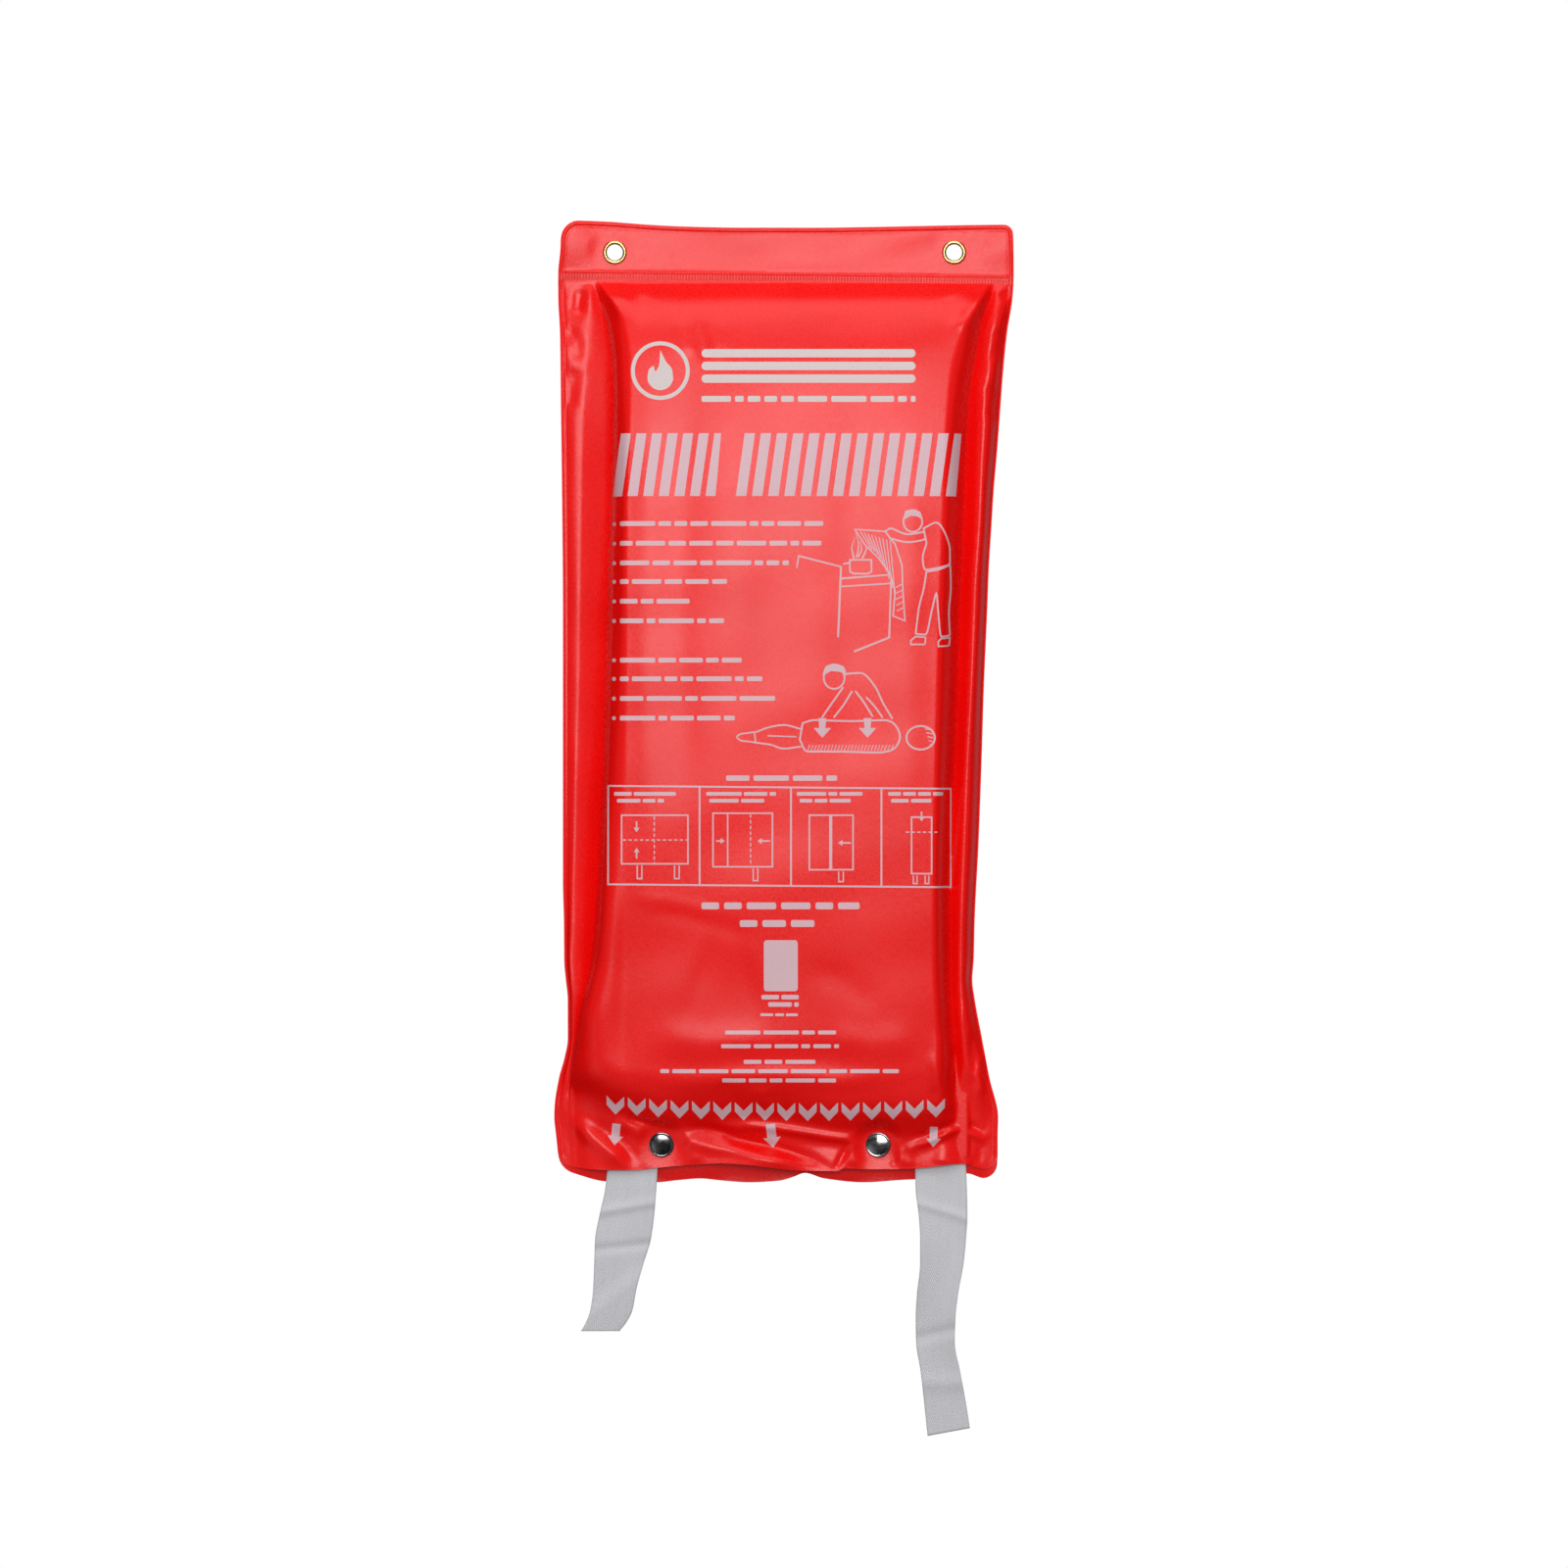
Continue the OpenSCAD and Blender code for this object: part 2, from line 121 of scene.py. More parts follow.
def outline(low, rt_l, rt_r, rb, step=1.5, inset=0.0):
    """Closed loop of the pouch's edge in mm, clockwise from the top left, with rounded corners."""
    n = 400
    b = np.linspace(224, 1210, n)
    left = np.stack([curve(b, EDGE_L), b], 1)
    right = np.stack([curve(b, EDGE_R), b], 1)
    a = np.linspace(560, 1040, n)
    top = np.stack([a, curve(a, TOP)], 1)
    bot = np.stack([a, curve(a, low)], 1)

    def corner(p, q, c, r):
        """Rounds the corner c between the point p on one side and q on the next, with a quarter arc."""
        t = np.linspace(0, math.pi / 2, 9)[1:-1]
        return [tuple(p + (c - p) * math.sin(s) + (q - c) * (1 - math.cos(s))) for s in t]

    loop = []
    xl_top, xr_top = 571.8, 1034.0
    t_l, t_r = curve(xl_top, TOP), curve(xr_top, TOP)
    b_l, b_r = curve(571, low), curve(1017.5, low)
    ct = [np.array([xl_top, float(t_l)]), np.array([xr_top, float(t_r)]), np.array([float(curve(b_r, EDGE_R)), float(b_r)]), np.array([float(curve(b_l, EDGE_L)), float(b_l)])]
    # top side
    x0, x1 = ct[0][0] + rt_l[0], ct[1][0] - rt_r[0]
    xs = np.linspace(x0, x1, 150)
    loop += [(x, float(curve(x, TOP))) for x in xs]
    y0, y1 = ct[1][1] + rt_r[1], ct[2][1] - rb
    loop += corner(np.array([x1, float(curve(x1, TOP))]), np.array([float(curve(y0, EDGE_R)), y0]), ct[1], 1)
    ys = np.linspace(y0, y1, 300)
    loop += [(float(curve(y, EDGE_R)), y) for y in ys]
    x2, x3 = ct[2][0] - rb, ct[3][0] + rb
    loop += corner(np.array([float(curve(y1, EDGE_R)), y1]), np.array([x2, float(curve(x2, low))]), ct[2], 1)
    xs = np.linspace(x2, x3, 150)
    loop += [(x, float(curve(x, low))) for x in xs]
    y2, y3 = ct[3][1] - rb, ct[0][1] + rt_l[1]
    loop += corner(np.array([x3, float(curve(x3, low))]), np.array([float(curve(y2, EDGE_L)), y2]), ct[3], 1)
    ys = np.linspace(y2, y3, 300)
    loop += [(float(curve(y, EDGE_L)), y) for y in ys]
    loop += corner(np.array([float(curve(y3, EDGE_L)), y3]), np.array([x0, float(curve(x0, TOP))]), ct[0], 1)
    pts = np.array([(float(gx(x)), float(gz(y))) for x, y in loop])
    if inset:
        nxt, prv = np.roll(pts, -1, 0), np.roll(pts, 1, 0)
        tan = nxt - prv
        tan /= np.linalg.norm(tan, axis=1)[:, None] + 1e-9
        pts = pts + np.stack([tan[:, 1], -tan[:, 0]], 1) * inset
    return resample(pts, step)


def resample(pts, step, closed=True):
    p = np.vstack([pts, pts[:1]]) if closed else np.asarray(pts, float)
    d = np.r_[0, np.cumsum(np.linalg.norm(np.diff(p, axis=0), axis=1))]
    n = max(3, int(round(d[-1] / step)))
    t = np.linspace(0, d[-1], n + 1)
    if closed:
        t = t[:-1]
    return np.stack([np.interp(t, d, p[:, 0]), np.interp(t, d, p[:, 1])], 1)


# ------------------------------------------------------------------ relief of the filled front sheet, as depth in front of the wall
RIDGE_L = [(288, 601, 1.8), (300, 601, 3.2), (330, 600, 4.4), (370, 598, 4.6), (400, 596.5, 4.6), (430, 595, 4.6), (470, 594, 4.6), (600, 591.5, 4.5), (700, 590, 4.5), (785, 587.5, 4.5),
           (850, 586, 4.6), (915, 583.5, 4.8), (980, 581, 5.0), (1020, 583, 5.2), (1060, 583, 4.9), (1100, 577, 4.2), (1130, 573, 3), (1200, 577, 2.6)]
VALLEY_L = [(288, 606, 1.8), (300, 610, 2.0), (330, 619, 2.2), (370, 624, 2.2), (400, 625, 2.2), (470, 623.5, 2.2), (600, 619.5, 2.2), (700, 617, 2.2), (785, 614.5, 2.2),
            (850, 611, 2.3), (915, 608, 2.6), (980, 602, 3.4), (1020, 594, 4.4), (1060, 587, 4.4), (1100, 581, 3.9), (1130, 580, 3), (1200, 584, 2.6)]
CREASE_L = [(288, 608, 1.8), (300, 613, 4.0), (330, 624, 10.5), (370, 630, 15.5), (400, 631, 17.5), (470, 630, 18.5), (600, 626.5, 19.2), (700, 624, 19.6), (785, 621.5, 20),
            (850, 618, 20.4), (915, 615, 20.4), (980, 609, 19), (1010, 602, 17.4), (1040, 593, 15), (1070, 588, 12), (1100, 584, 8), (1130, 586, 4), (1200, 590, 3)]
PLAT_L = [(288, 612, 0), (300, 620, 0), (315, 631, 0), (330, 639, 0), (350, 644, 0), (370, 646, 0), (430, 643.5, 0), (520, 640, 0), (700, 640, 0), (785, 640, 0), (850, 640, 0), (915, 640, 0),
          (980, 640, 0), (1045, 640, 0), (1075, 640, 0), (1100, 645, 0), (1130, 650, 0), (1200, 640, 0)]
PLAT_D = [(286, 1.8), (290, 3.6), (298, 8.2), (306, 12.0), (314, 14.6), (330, 17.2), (360, 20.0), (400, 22.4), (450, 24.5), (520, 25.8), (600, 26.3), (780, 26.2), (860, 25.6), (930, 24.2),
          (1000, 22.3), (1040, 21.3), (1066, 20.8), (1090, 20.2), (1104, 19.4), (1116, 18.2), (1127, 16.0), (1138, 12.6), (1148, 9.4), (1158, 7.6), (1172, 6.5), (1200, 6.2)]
PLAT_R = [(288, 1008, 0), (300, 1002, 0), (315, 994, 0), (330, 985, 0), (350, 975, 0), (370, 969, 0), (430, 964, 0), (520, 961, 0), (600, 958, 0), (700, 955, 0), (850, 952, 0), (980, 951, 0),
          (1045, 954, 0), (1100, 954, 0), (1130, 960, 0), (1200, 965, 0)]
VALLEY_R = [(288, 1015, 1.8), (300, 1012, 3.0), (330, 1002, 4.8), (370, 995, 6.0), (400, 990.5, 6.6), (470, 986.5, 6.8), (520, 984.5, 6.8), (600, 981, 6.8), (700, 978, 6.8), (785, 974.5, 6.8),
            (850, 972, 6.8), (915, 970, 6.8), (1000, 970, 6.8), (1045, 972, 7.0), (1085, 975, 6.4), (1110, 976, 5.4), (1140, 980, 3.6), (1200, 985, 2.8)]
RIDGE_R = [(288, 1018, 1.8), (300, 1018, 4.2), (330, 1015.5, 7.6), (370, 1010.5, 9.6), (400, 1007, 10.6), (430, 1005, 11.2), (470, 1002.5, 11.6), (520, 1000.5, 11.6), (600, 995.5, 11.4), (700, 991.5, 11.2), (785, 987, 11),
           (850, 984.5, 11), (915, 982, 10.8), (980, 980.5, 10.4), (1010, 981, 10), (1045, 985, 9.0), (1085, 990, 7.4), (1115, 995, 5.2), (1145, 1000, 3.2), (1200, 1004, 2.6)]
# where the bulge ends above the flat mouth strip
FOLD = [(560, 1127), (568, 1130), (574, 1134), (584, 1137), (604, 1140), (630, 1143), (650, 1146), (668, 1151), (680, 1152), (700, 1151), (719, 1149), (738, 1147), (770, 1146), (795, 1146.5),
        (820, 1151), (836, 1154), (866, 1158), (882, 1157), (909, 1158), (920, 1161), (943, 1160.5), (958, 1157), (970, 1153), (981, 1149.5), (990, 1152), (1002, 1157.5), (1010, 1153), (1017, 1142), (1030, 1138)]

# soft folds: points along the fold, half width, height (mm); a valley has a negative height
FOLDS = [
    ([(570, 1132), (580, 1142), (590, 1151), (611, 1167), (631, 1182), (645, 1194)], 4.6, 2.4),
    ([(602, 1142), (620, 1156), (638, 1170), (652, 1190)], 4.0, -1.3),
    ([(626, 1143), (645, 1151), (659, 1165)], 3.4, 1.3),
    ([(636, 1141), (655, 1145), (668, 1149.5), (680, 1152.5)], 2.0, -1.5),
    ([(688, 1152), (719, 1152), (738, 1156), (751, 1162), (770, 1167), (790, 1172), (808, 1177), (830, 1184), (850, 1193)], 2.7, -2.6),
    ([(690, 1160), (709, 1166), (726, 1171), (751, 1174), (770, 1179), (796, 1185), (824, 1194)], 3.2, 1.7),
    ([(700, 1160), (708, 1172), (709, 1190)], 4.2, 1.0),
    ([(735, 1150), (760, 1149), (795, 1152), (820, 1156), (851, 1161), (865, 1162.5), (871, 1168), (867, 1177), (860, 1190)], 2.3, 2.0),
    ([(866, 1170), (860, 1180), (853, 1193)], 1.7, -1.3),
    ([(876, 1164), (875, 1176), (869, 1192)], 3.0, 0.9),
    ([(911, 1165), (918, 1175), (921, 1192)], 1.8, 1.0),
    ([(908, 1170), (912, 1182), (914, 1194)], 1.8, -1.0),
    ([(932, 1168), (927, 1180), (928, 1193)], 2.6, 0.8),
    ([(918, 1174), (943, 1167), (958, 1161), (970.6, 1155), (981, 1152), (989, 1155.5), (1002.8, 1162.5), (1010.4, 1158), (1017, 1143)], 1.9, 1.7),
    ([(925, 1162), (943, 1159), (958, 1154), (970, 1148.5), (981, 1145.5), (990, 1149), (1002, 1156), (1009, 1150)], 1.9, -1.4),
    ([(960, 1190), (962, 1178), (966, 1166)], 4.0, 0.8),
    ([(1003, 1165), (1001, 1178), (998, 1190)], 2.4, -0.7),
    ([(981, 1015), (981, 1040), (987, 1080), (994, 1112)], 2.8, 1.6),
    ([(1003, 1072), (999, 1095), (1001, 1125)], 2.4, 1.5),
    ([(992, 1050), (992, 1080), (997, 1100)], 2.2, -1.0),
    ([(974, 1060), (975, 1095), (979, 1135)], 1.8, -1.5),
    ([(952, 1080), (962, 1110), (972, 1140)], 3.0, 0.9),
    ([(948, 1105), (962, 1128), (970, 1146)], 2.6, -0.8),
    ([(950, 1095), (958, 1075), (962, 1050)], 3.4, 0.5),
    # header and top corners
    ([(592, 292), (590, 310), (588, 322)], 3.0, -1.4),
    ([(576, 330), (588, 350), (590, 372)], 4.0, -0.8),
    ([(588, 372), (582, 400), (580, 420)], 4.5, -0.9),
    ([(622, 292), (640, 310), (652, 330)], 4.0, 1.0),
    ([(640, 326), (655, 312), (662, 300)], 4.5, -0.8),
    ([(708, 330), (716, 350), (722, 368)], 4.2, -0.55),
    ([(690, 322), (700, 345), (703, 368)], 5.0, 0.45),
    ([(736, 322), (733, 345), (728, 366)], 4.5, 0.35),
    ([(1003, 300), (990, 320), (975, 340)], 3.4, 0.9),
    ([(968, 300), (975, 318), (982, 326)], 5.0, -0.9),
    ([(1023, 296), (1029, 305)], 2.6, -1.0),
    ([(1020, 330), (1018, 350), (1013, 372)], 2.6, -1.1),
    ([(1010, 388), (1014, 410), (1011, 432)], 3.0, -1.3),
    ([(850, 318), (845, 345), (842, 360)], 6.0, -0.3),
    # long soft undulations down the flat front
    ([(880, 330), (868, 600), (872, 850), (890, 1060)], 15.0, -1.1),
    ([(930, 380), (925, 640), (928, 900)], 9.0, 0.5),
    ([(745, 340), (750, 620), (740, 900)], 15.0, 0.7),
    ([(700, 360), (694, 640), (700, 860)], 8.0, -0.4),
    ([(664, 350), (660, 640), (662, 900)], 7.0, 0.45),
    ([(700, 985), (740, 1000), (780, 990)], 18.0, -0.9),
    ([(660, 1050), (720, 1066), (800, 1062)], 9.0, 0.7),
    ([(840, 1060), (890, 1068), (940, 1058)], 9.0, 0.6),
    ([(620, 256), (700, 262), (760, 258)], 8.0, -0.7),
    ([(770, 232), (800, 262), (850, 280)], 8.0, 0.7),
    ([(880, 236), (905, 258), (930, 275)], 7.0, -0.7),
    ([(660, 236), (668, 256), (690, 276)], 7.0, 0.7),
    ([(585, 232), (592, 255), (588, 275)], 5.0, 0.9),
    ([(1000, 240), (1010, 258), (1022, 272)], 5.0, 0.6),
    # faint creases across the flat front
    ([(640, 915), (680, 920), (740, 935)], 4.0, 0.28),
    ([(655, 928), (700, 932), (780, 960)], 5.0, -0.25),
    ([(820, 985), (860, 1000), (900, 1030)], 7.0, -0.3),
    ([(640, 1098), (700, 1103), (780, 1100), (860, 1103), (930, 1096)], 5.5, 1.1),
    ([(700, 1075), (800, 1078), (900, 1072)], 6.0, -0.35),
    ([(775, 1105), (778, 1122), (790, 1140)], 5.0, 0.7),
    ([(735, 1100), (745, 1120), (752, 1136)], 5.5, -0.6),
]


def seg_dist(px, pz, poly):
    """Distance to a polyline in mm, and how far along it the nearest point is, 0 to 1."""
    q = np.array([(float(gx(a)), float(gz(b))) for a, b in poly])
    ln = np.r_[0, np.cumsum(np.linalg.norm(np.diff(q, axis=0), axis=1))]
    best = np.full(px.shape, 1e9)
    along = np.zeros(px.shape)
    for i in range(len(q) - 1):
        a, d = q[i], q[i + 1] - q[i]
        t = np.clip(((px - a[0]) * d[0] + (pz - a[1]) * d[1]) / (d @ d), 0, 1)
        r = np.hypot(px - a[0] - t * d[0], pz - a[1] - t * d[1])
        m = r < best
        best = np.where(m, r, best)
        along = np.where(m, (ln[i] + t * (ln[i + 1] - ln[i])) / ln[-1], along)
    return best, along


rng = np.random.default_rng(7)
WAVES = [(rng.uniform(0.05, 0.16), rng.uniform(0, 2 * math.pi), rng.uniform(0, 2 * math.pi), rng.uniform(0.5, 1.0)) for _ in range(14)]


def mottle(x, z):
    out = np.zeros_like(x)
    for k, th, ph, a in WAVES:
        out += a * np.sin(k * (x * math.cos(th) + z * math.sin(th)) + ph)
    return out / 6.0


def wave(x, z):
    """Forward bow of both sheets where they are welded together: the header between the eyelets, and the loose side edges."""
    b = 256.5 - z / U
    a = 800.5 + x / U
    head = 1.5 * np.sin(np.clip((a - 640) / 322, 0, 1) * math.pi) ** 2 * (1 - smooth((b - 262) / 60))
    head += 0.35 * np.sin(a * 0.043 + b * 0.05) * smooth((268 - b) / 30)
    left = 1.9 * smooth((622 - a) / 46) * smooth((300 - b) / 60) + 0.9 * smooth((a - 985) / 35) * smooth((285 - b) / 45)
    ripple = 0.35 * np.sin(a * 0.035 + 0.8) * smooth((262 - b) / 40)
    # the filled pouch pulls its left seam off the wall
    seam = 3.2 * (1 - smooth((a - curve(b, EDGE_L)) / 42)) * smooth((b - 296) / 70) * smooth((1085 - b) / 90)
    return np.maximum(head + left + ripple + seam, 0)


front_loop = outline(FRONT_LOW, (18, 20), (9, 10), 13)
TREE = None


def edge_distance(x, z):
    """Distance in mm from each point to the front sheet's edge, up to 6 mm."""
    global TREE
    if TREE is None:
        q = resample(front_loop, 0.2)
        TREE = KDTree(len(q))
        for i, p in enumerate(q):
            TREE.insert((p[0], p[1], 0), i)
        TREE.balance()
    x, z = np.asarray(x, float), np.asarray(z, float)
    a, b = 800.5 + x / U, 256.5 - z / U
    rough = np.minimum(np.minimum(a - curve(b, EDGE_L), curve(b, EDGE_R) - a), np.minimum(b - curve(a, TOP), 1190 - b)) * U
    out = np.full(x.shape, 6.0)
    flat, xs, zs = out.ravel(), x.ravel(), z.ravel()
    for i in np.nonzero(rough.ravel() < 7.0)[0]:
        flat[i] = min(6.0, TREE.find((xs[i], zs[i], 0))[2])
    return flat.reshape(x.shape)


def front_depth(x, z):
    """Depth of the front sheet's outer face, in mm."""
    x, z = np.asarray(x, float), np.asarray(z, float)
    b0 = 256.5 - z / U
    a = 800.5 + x / U
    # the lower fold isn't straight: shift the rows near it
    shift = (1152 - curve(a, FOLD)) * smooth((b0 - 1088) / 40)
    low = curve(a, FRONT_LOW)
    b = b0 + shift
    b = np.where(b0 > 1160, np.maximum(b, b0 * 0 + 1150), b)
    eL, eR = curve(b0, EDGE_L), curve(b0, EDGE_R)
    rLx, rLd = curve(b0, RIDGE_L), curve(b, RIDGE_L, 2)
    vLx, vLd = curve(b0, VALLEY_L), curve(b, VALLEY_L, 2)
    cLx, cLd = curve(b0, CREASE_L), curve(b, CREASE_L, 2)
    pLx, pRx = curve(b0, PLAT_L), curve(b0, PLAT_R)
    pd = curve(b, PLAT_D)
    vRx, vRd = curve(b0, VALLEY_R), curve(b, VALLEY_R, 2)
    rRx, rRd = curve(b0, RIDGE_R), curve(b, RIDGE_R, 2)
    flat = 1.8
    w, wr = 3.2, 2.2                            # width of the flat weld margin, left and right
    cLd = np.minimum(cLd, pd * 0.97)
    crown = 1.5 * smooth((b0 - 300) / 60) * smooth((1120 - b0) / 60)
    mid = 0.5 * (pLx + pRx)
    half = (pRx - pLx) * U / 2
    edge_slope = 3 * crown / half
    k = 1.0 / U

    def seg(x0, d0, m0, x1, d1, m1):
        s = np.clip((a - x0) / np.maximum(x1 - x0, 0.5), 0, 1)
        L = np.maximum(x1 - x0, 0.5) * U
        return herm(s, d0, d1, m0 * L, m1 * L)

    d = np.full(x.shape, flat)
    rise = smooth((b0 - 288) / 40) * (1 - 0.7 * smooth((b0 - 1080) / 60))
    def roll(x0, x1, power):
        """0 to 1 from x0 to x1, steep at x0 and flat at x1."""
        s = np.clip((a - x0) / np.where(np.abs(x1 - x0) < 0.5, 0.5, x1 - x0), 0, 1)
        return 1 - (1 - s) ** power

    d = np.where(a > eL + w, flat + (rLd - flat) * roll(eL + w, rLx, 1.35), d)
    d = np.where(a > rLx, seg(rLx, rLd, 0.0, vLx, vLd, -0.45 * rise), d)
    d = np.where(a > vLx, seg(vLx, vLd, 3.6 * rise, cLx, cLd, 1.5 * rise), d)
    d = np.where(a > cLx, seg(cLx, cLd, 1.5 * rise, pLx, pd, edge_slope), d)
    d = np.where(a > pLx, pd + crown * (1 - np.abs(np.clip((a - mid) / (0.5 * (pRx - pLx)), -1, 1)) ** 3), d)
    d = np.where(a > pRx, seg(pRx, pd, -edge_slope, vRx, vRd, -2.8 * rise), d)
    d = np.where(a > vRx, seg(vRx, vRd, 0.55 * rise, rRx, rRd, 0.0), d)
    d = np.where(a > rRx, flat + (rRd - flat) * roll(eR - wr, rRx, 2.0), d)
    d = np.where(a > eR - wr, flat, d)
    # soft folds
    for poly, half, height in FOLDS:
        q = np.array(poly, float)
        reach = 3.0 * half / U + 4
        near = (np.abs(a - (q[:, 0].min() + q[:, 0].max()) / 2) < np.ptp(q[:, 0]) / 2 + reach) & (np.abs(b0 - (q[:, 1].min() + q[:, 1].max()) / 2) < np.ptp(q[:, 1]) / 2 + reach)
        if not near.any():
            continue
        r, t = seg_dist(x[near], z[near], poly)
        ends = smooth(t / 0.28) * smooth((1 - t) / 0.28)
        d[near] += height * np.exp(-((r / half) ** 2)) * (0.15 + 0.85 * ends) * np.where(r > half * 3, 0, 1)
    inside = smooth((a - eL - 4) / 10) * smooth((eR - 4 - a) / 10) * (smooth((b0 - 289) / 25) + 0.9 * (1 - smooth((b0 - 262) / 12)))
    near_top = 1 + 0.7 * smooth((b0 - 290) / 12) * smooth((360 - b0) / 40)
    d += 0.46 * mottle(x, z) * inside * near_top
    # mouth: the front sheet stands off the rear one between the fixed points, and is pinched at the studs and the side welds
    m = smooth((b0 - 1165) / 25)
    gape = 0.6 * np.exp(-(((a - 600) / 26) ** 2)) + 4.6 * np.exp(-(((a - 775) / 42) ** 2)) + 1.6 * np.exp(-(((a - 850) / 20) ** 2)) + 1.2 * np.exp(-(((a - 965) / 30) ** 2))
    d = d + m * gape
    edge = smooth((a - eL - 3) / 30) * smooth((eR - 3 - a) / 26)
    d = np.where(b0 > 1120, flat + (d - flat) * (1 - smooth((b0 - 1120) / 30) * (1 - edge)), d)
    # the tapes lie under the front sheet, so it never comes lower than them
    for node in ("tape_root_left", "tape_root_right"):
        lo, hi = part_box(node)
        f = smooth((x - lo.x * 1000 + 4) / 3) * smooth((hi.x * 1000 + 4 - x) / 3) * smooth((b0 - 1040) / 20)
        d = np.where(f > 0, np.maximum(d, flat + (5.35 - flat) * f), d)
    # both sheets meet where they are welded
    head = 1 - smooth((b0 - 285) / 5)
    d = d * (1 - head) + flat * head
    d = np.maximum(d, flat)
    # studs and eyelets hold the sheet at their own depth
    for c in STUD:
        r = np.hypot(x - c.x, z - c.z)
        f = 1 - smooth((r - 6.0) / 8.0)
        d = d * (1 - f) + 5.6 * f
    d = d + wave(x, z)
    for c in EYE:
        r = np.hypot(x - c.x, z - c.z)
        f = 1 - smooth((r - 5.0) / 10.0)
        d = d * (1 - f) + 1.8 * f
    # fine relief: weld line round the edge, and the toothed band across the top
    dist = edge_distance(x, z)
    side_ok = smooth((1184 - b0) / 8)
    d = d + side_ok * (0.34 * np.exp(-(((dist - 1.45) / 0.45) ** 2)) - 0.16 * np.exp(-(((dist - 2.5) / 0.5) ** 2)))
    b1, b2 = band_rows(a)
    t = (b0 - b1) / (b2 - b1)
    on = smooth(t / 0.22) * smooth((1 - t) / 0.30) * smooth((dist - 1.6) / 1.2)
    tooth = np.abs(np.cos(math.pi * (x / 1.47)))
    d = d + on * 0.50 * (tooth ** 0.55 - 0.55) + 0.26 * np.exp(-(((b0 - b1 + 1.3) / 1.1) ** 2)) * smooth((dist - 1.6) / 1.2)
    return d


def band_rows(a):
    return 277.5 + (a - 575) * 0.0112, 284.5 + (a - 575) * 0.0112


def back_depth(x, z):
    """Depth of the rear sheet's front face, in mm: flat on the wall, with the header's bow and a loose lower edge."""
    x, z = np.asarray(x, float), np.asarray(z, float)
    b = 256.5 - z / U
    a = 800.5 + x / U
    d = 1.2 + wave(x, z)
    eL, eR = curve(b, EDGE_L), curve(b, EDGE_R)
    low = smooth((b - 1150) / 50)
    d = d + low * (0.9 + 0.5 * np.sin(a * 0.045 + 1.0) + 0.35 * np.sin(a * 0.083)) * smooth((a - eL) / 30) * smooth((eR - a) / 30)
    d = d - 1.9 * np.clip((b - 1184) / 24, 0, 1) ** 1.3 * smooth((a - eL) / 20) * smooth((eR - a) / 20)
    d = d + 0.25 * mottle(x, z) * smooth((b - 300) / 60)
    # pull lines running in from the side welds
    s = smooth((a - eL - 3) / 8) * np.exp(-((a - eL) / 26) ** 2) + smooth((eR - a - 3) / 8) * np.exp(-((eR - a) / 26) ** 2)
    d = d + s * smooth((b - 300) / 40) * smooth((1150 - b) / 40) * 0.5 * (1 + np.sin(b * 0.12 + 1.3 * np.sin(b * 0.021) + a * 0.02))
    for c in EYE + STUD:
        r = np.hypot(x - c.x, z - c.z)
        f = 1 - smooth((r - 5.0) / 10.0)
        d = d * (1 - f) + 1.2 * f
    return np.maximum(d, 0.65)


# ------------------------------------------------------------------ print, as closed shapes on the layout grid
INK = []        # (points, kind) with kind 1 pale pink ink, 2 whiter ink, 0 cuts back to the sheet


def ink(pts, kind=1):
    INK.append((np.array([(float(gx(a)), float(gz(b))) for a, b in pts]), kind))


def bar(a0, b0, a1, b1, r=0.0, kind=1, lean=0.0):
    r = min(r, abs(a1 - a0) / 2 - 0.01, abs(b1 - b0) / 2 - 0.01)
    pts = []
    if r <= 0.05:
        pts = [(a0, b0), (a1, b0), (a1, b1), (a0, b1)]
    else:
        for cx, cy, t0 in ((a1 - r, b0 + r, -90), (a1 - r, b1 - r, 0), (a0 + r, b1 - r, 90), (a0 + r, b0 + r, 180)):
            for t in np.linspace(t0, t0 + 90, 5):
                pts.append((cx + r * math.cos(math.radians(t)), cy + r * math.sin(math.radians(t))))
    if lean:
        pts = [(p[0] + lean * (b1 - p[1]), p[1]) for p in pts]
    ink(pts, kind)


def disc(a, b, r, kind=1, n=22):
    ink([(a + r * math.cos(t), b + r * math.sin(t)) for t in np.linspace(0, 2 * math.pi, n, endpoint=False)], kind)


def stroke(pts, w, kind=1, taper=1.0):
    """A thick rounded line through points."""
    p = np.array(pts, float)
    d = np.diff(p, axis=0)
    d /= np.linalg.norm(d, axis=1)[:, None]
    nrm = np.stack([-d[:, 1], d[:, 0]], 1)
    nv = np.vstack([nrm[:1], (nrm[:-1] + nrm[1:]), nrm[-1:]])
    nv /= np.linalg.norm(nv, axis=1)[:, None]
    ws = np.linspace(w / 2, w / 2 * taper, len(p))
    left, right = p + nv * ws[:, None], p - nv * ws[:, None]
    cap1 = [tuple(p[-1] + ws[-1] * (nrm[-1] * math.cos(t) + d[-1] * math.sin(t))) for t in np.linspace(0, math.pi, 7)[1:-1]]
    cap0 = [tuple(p[0] + ws[0] * (-nrm[0] * math.cos(t) - d[0] * math.sin(t))) for t in np.linspace(0, math.pi, 7)[1:-1]]
    ink([tuple(q) for q in left] + cap1 + [tuple(q) for q in right[::-1]] + cap0, kind)


def bow(pts, n=8):
    """Smooth curve through a few points."""
    p = np.array(pts, float)
    t = np.arange(len(p))
    s = np.linspace(0, len(p) - 1, (len(p) - 1) * n + 1)
    return [(float(curve(x, [(i, q[0]) for i, q in zip(t, p)])), float(curve(x, [(i, q[1]) for i, q in zip(t, p)]))) for x in s]


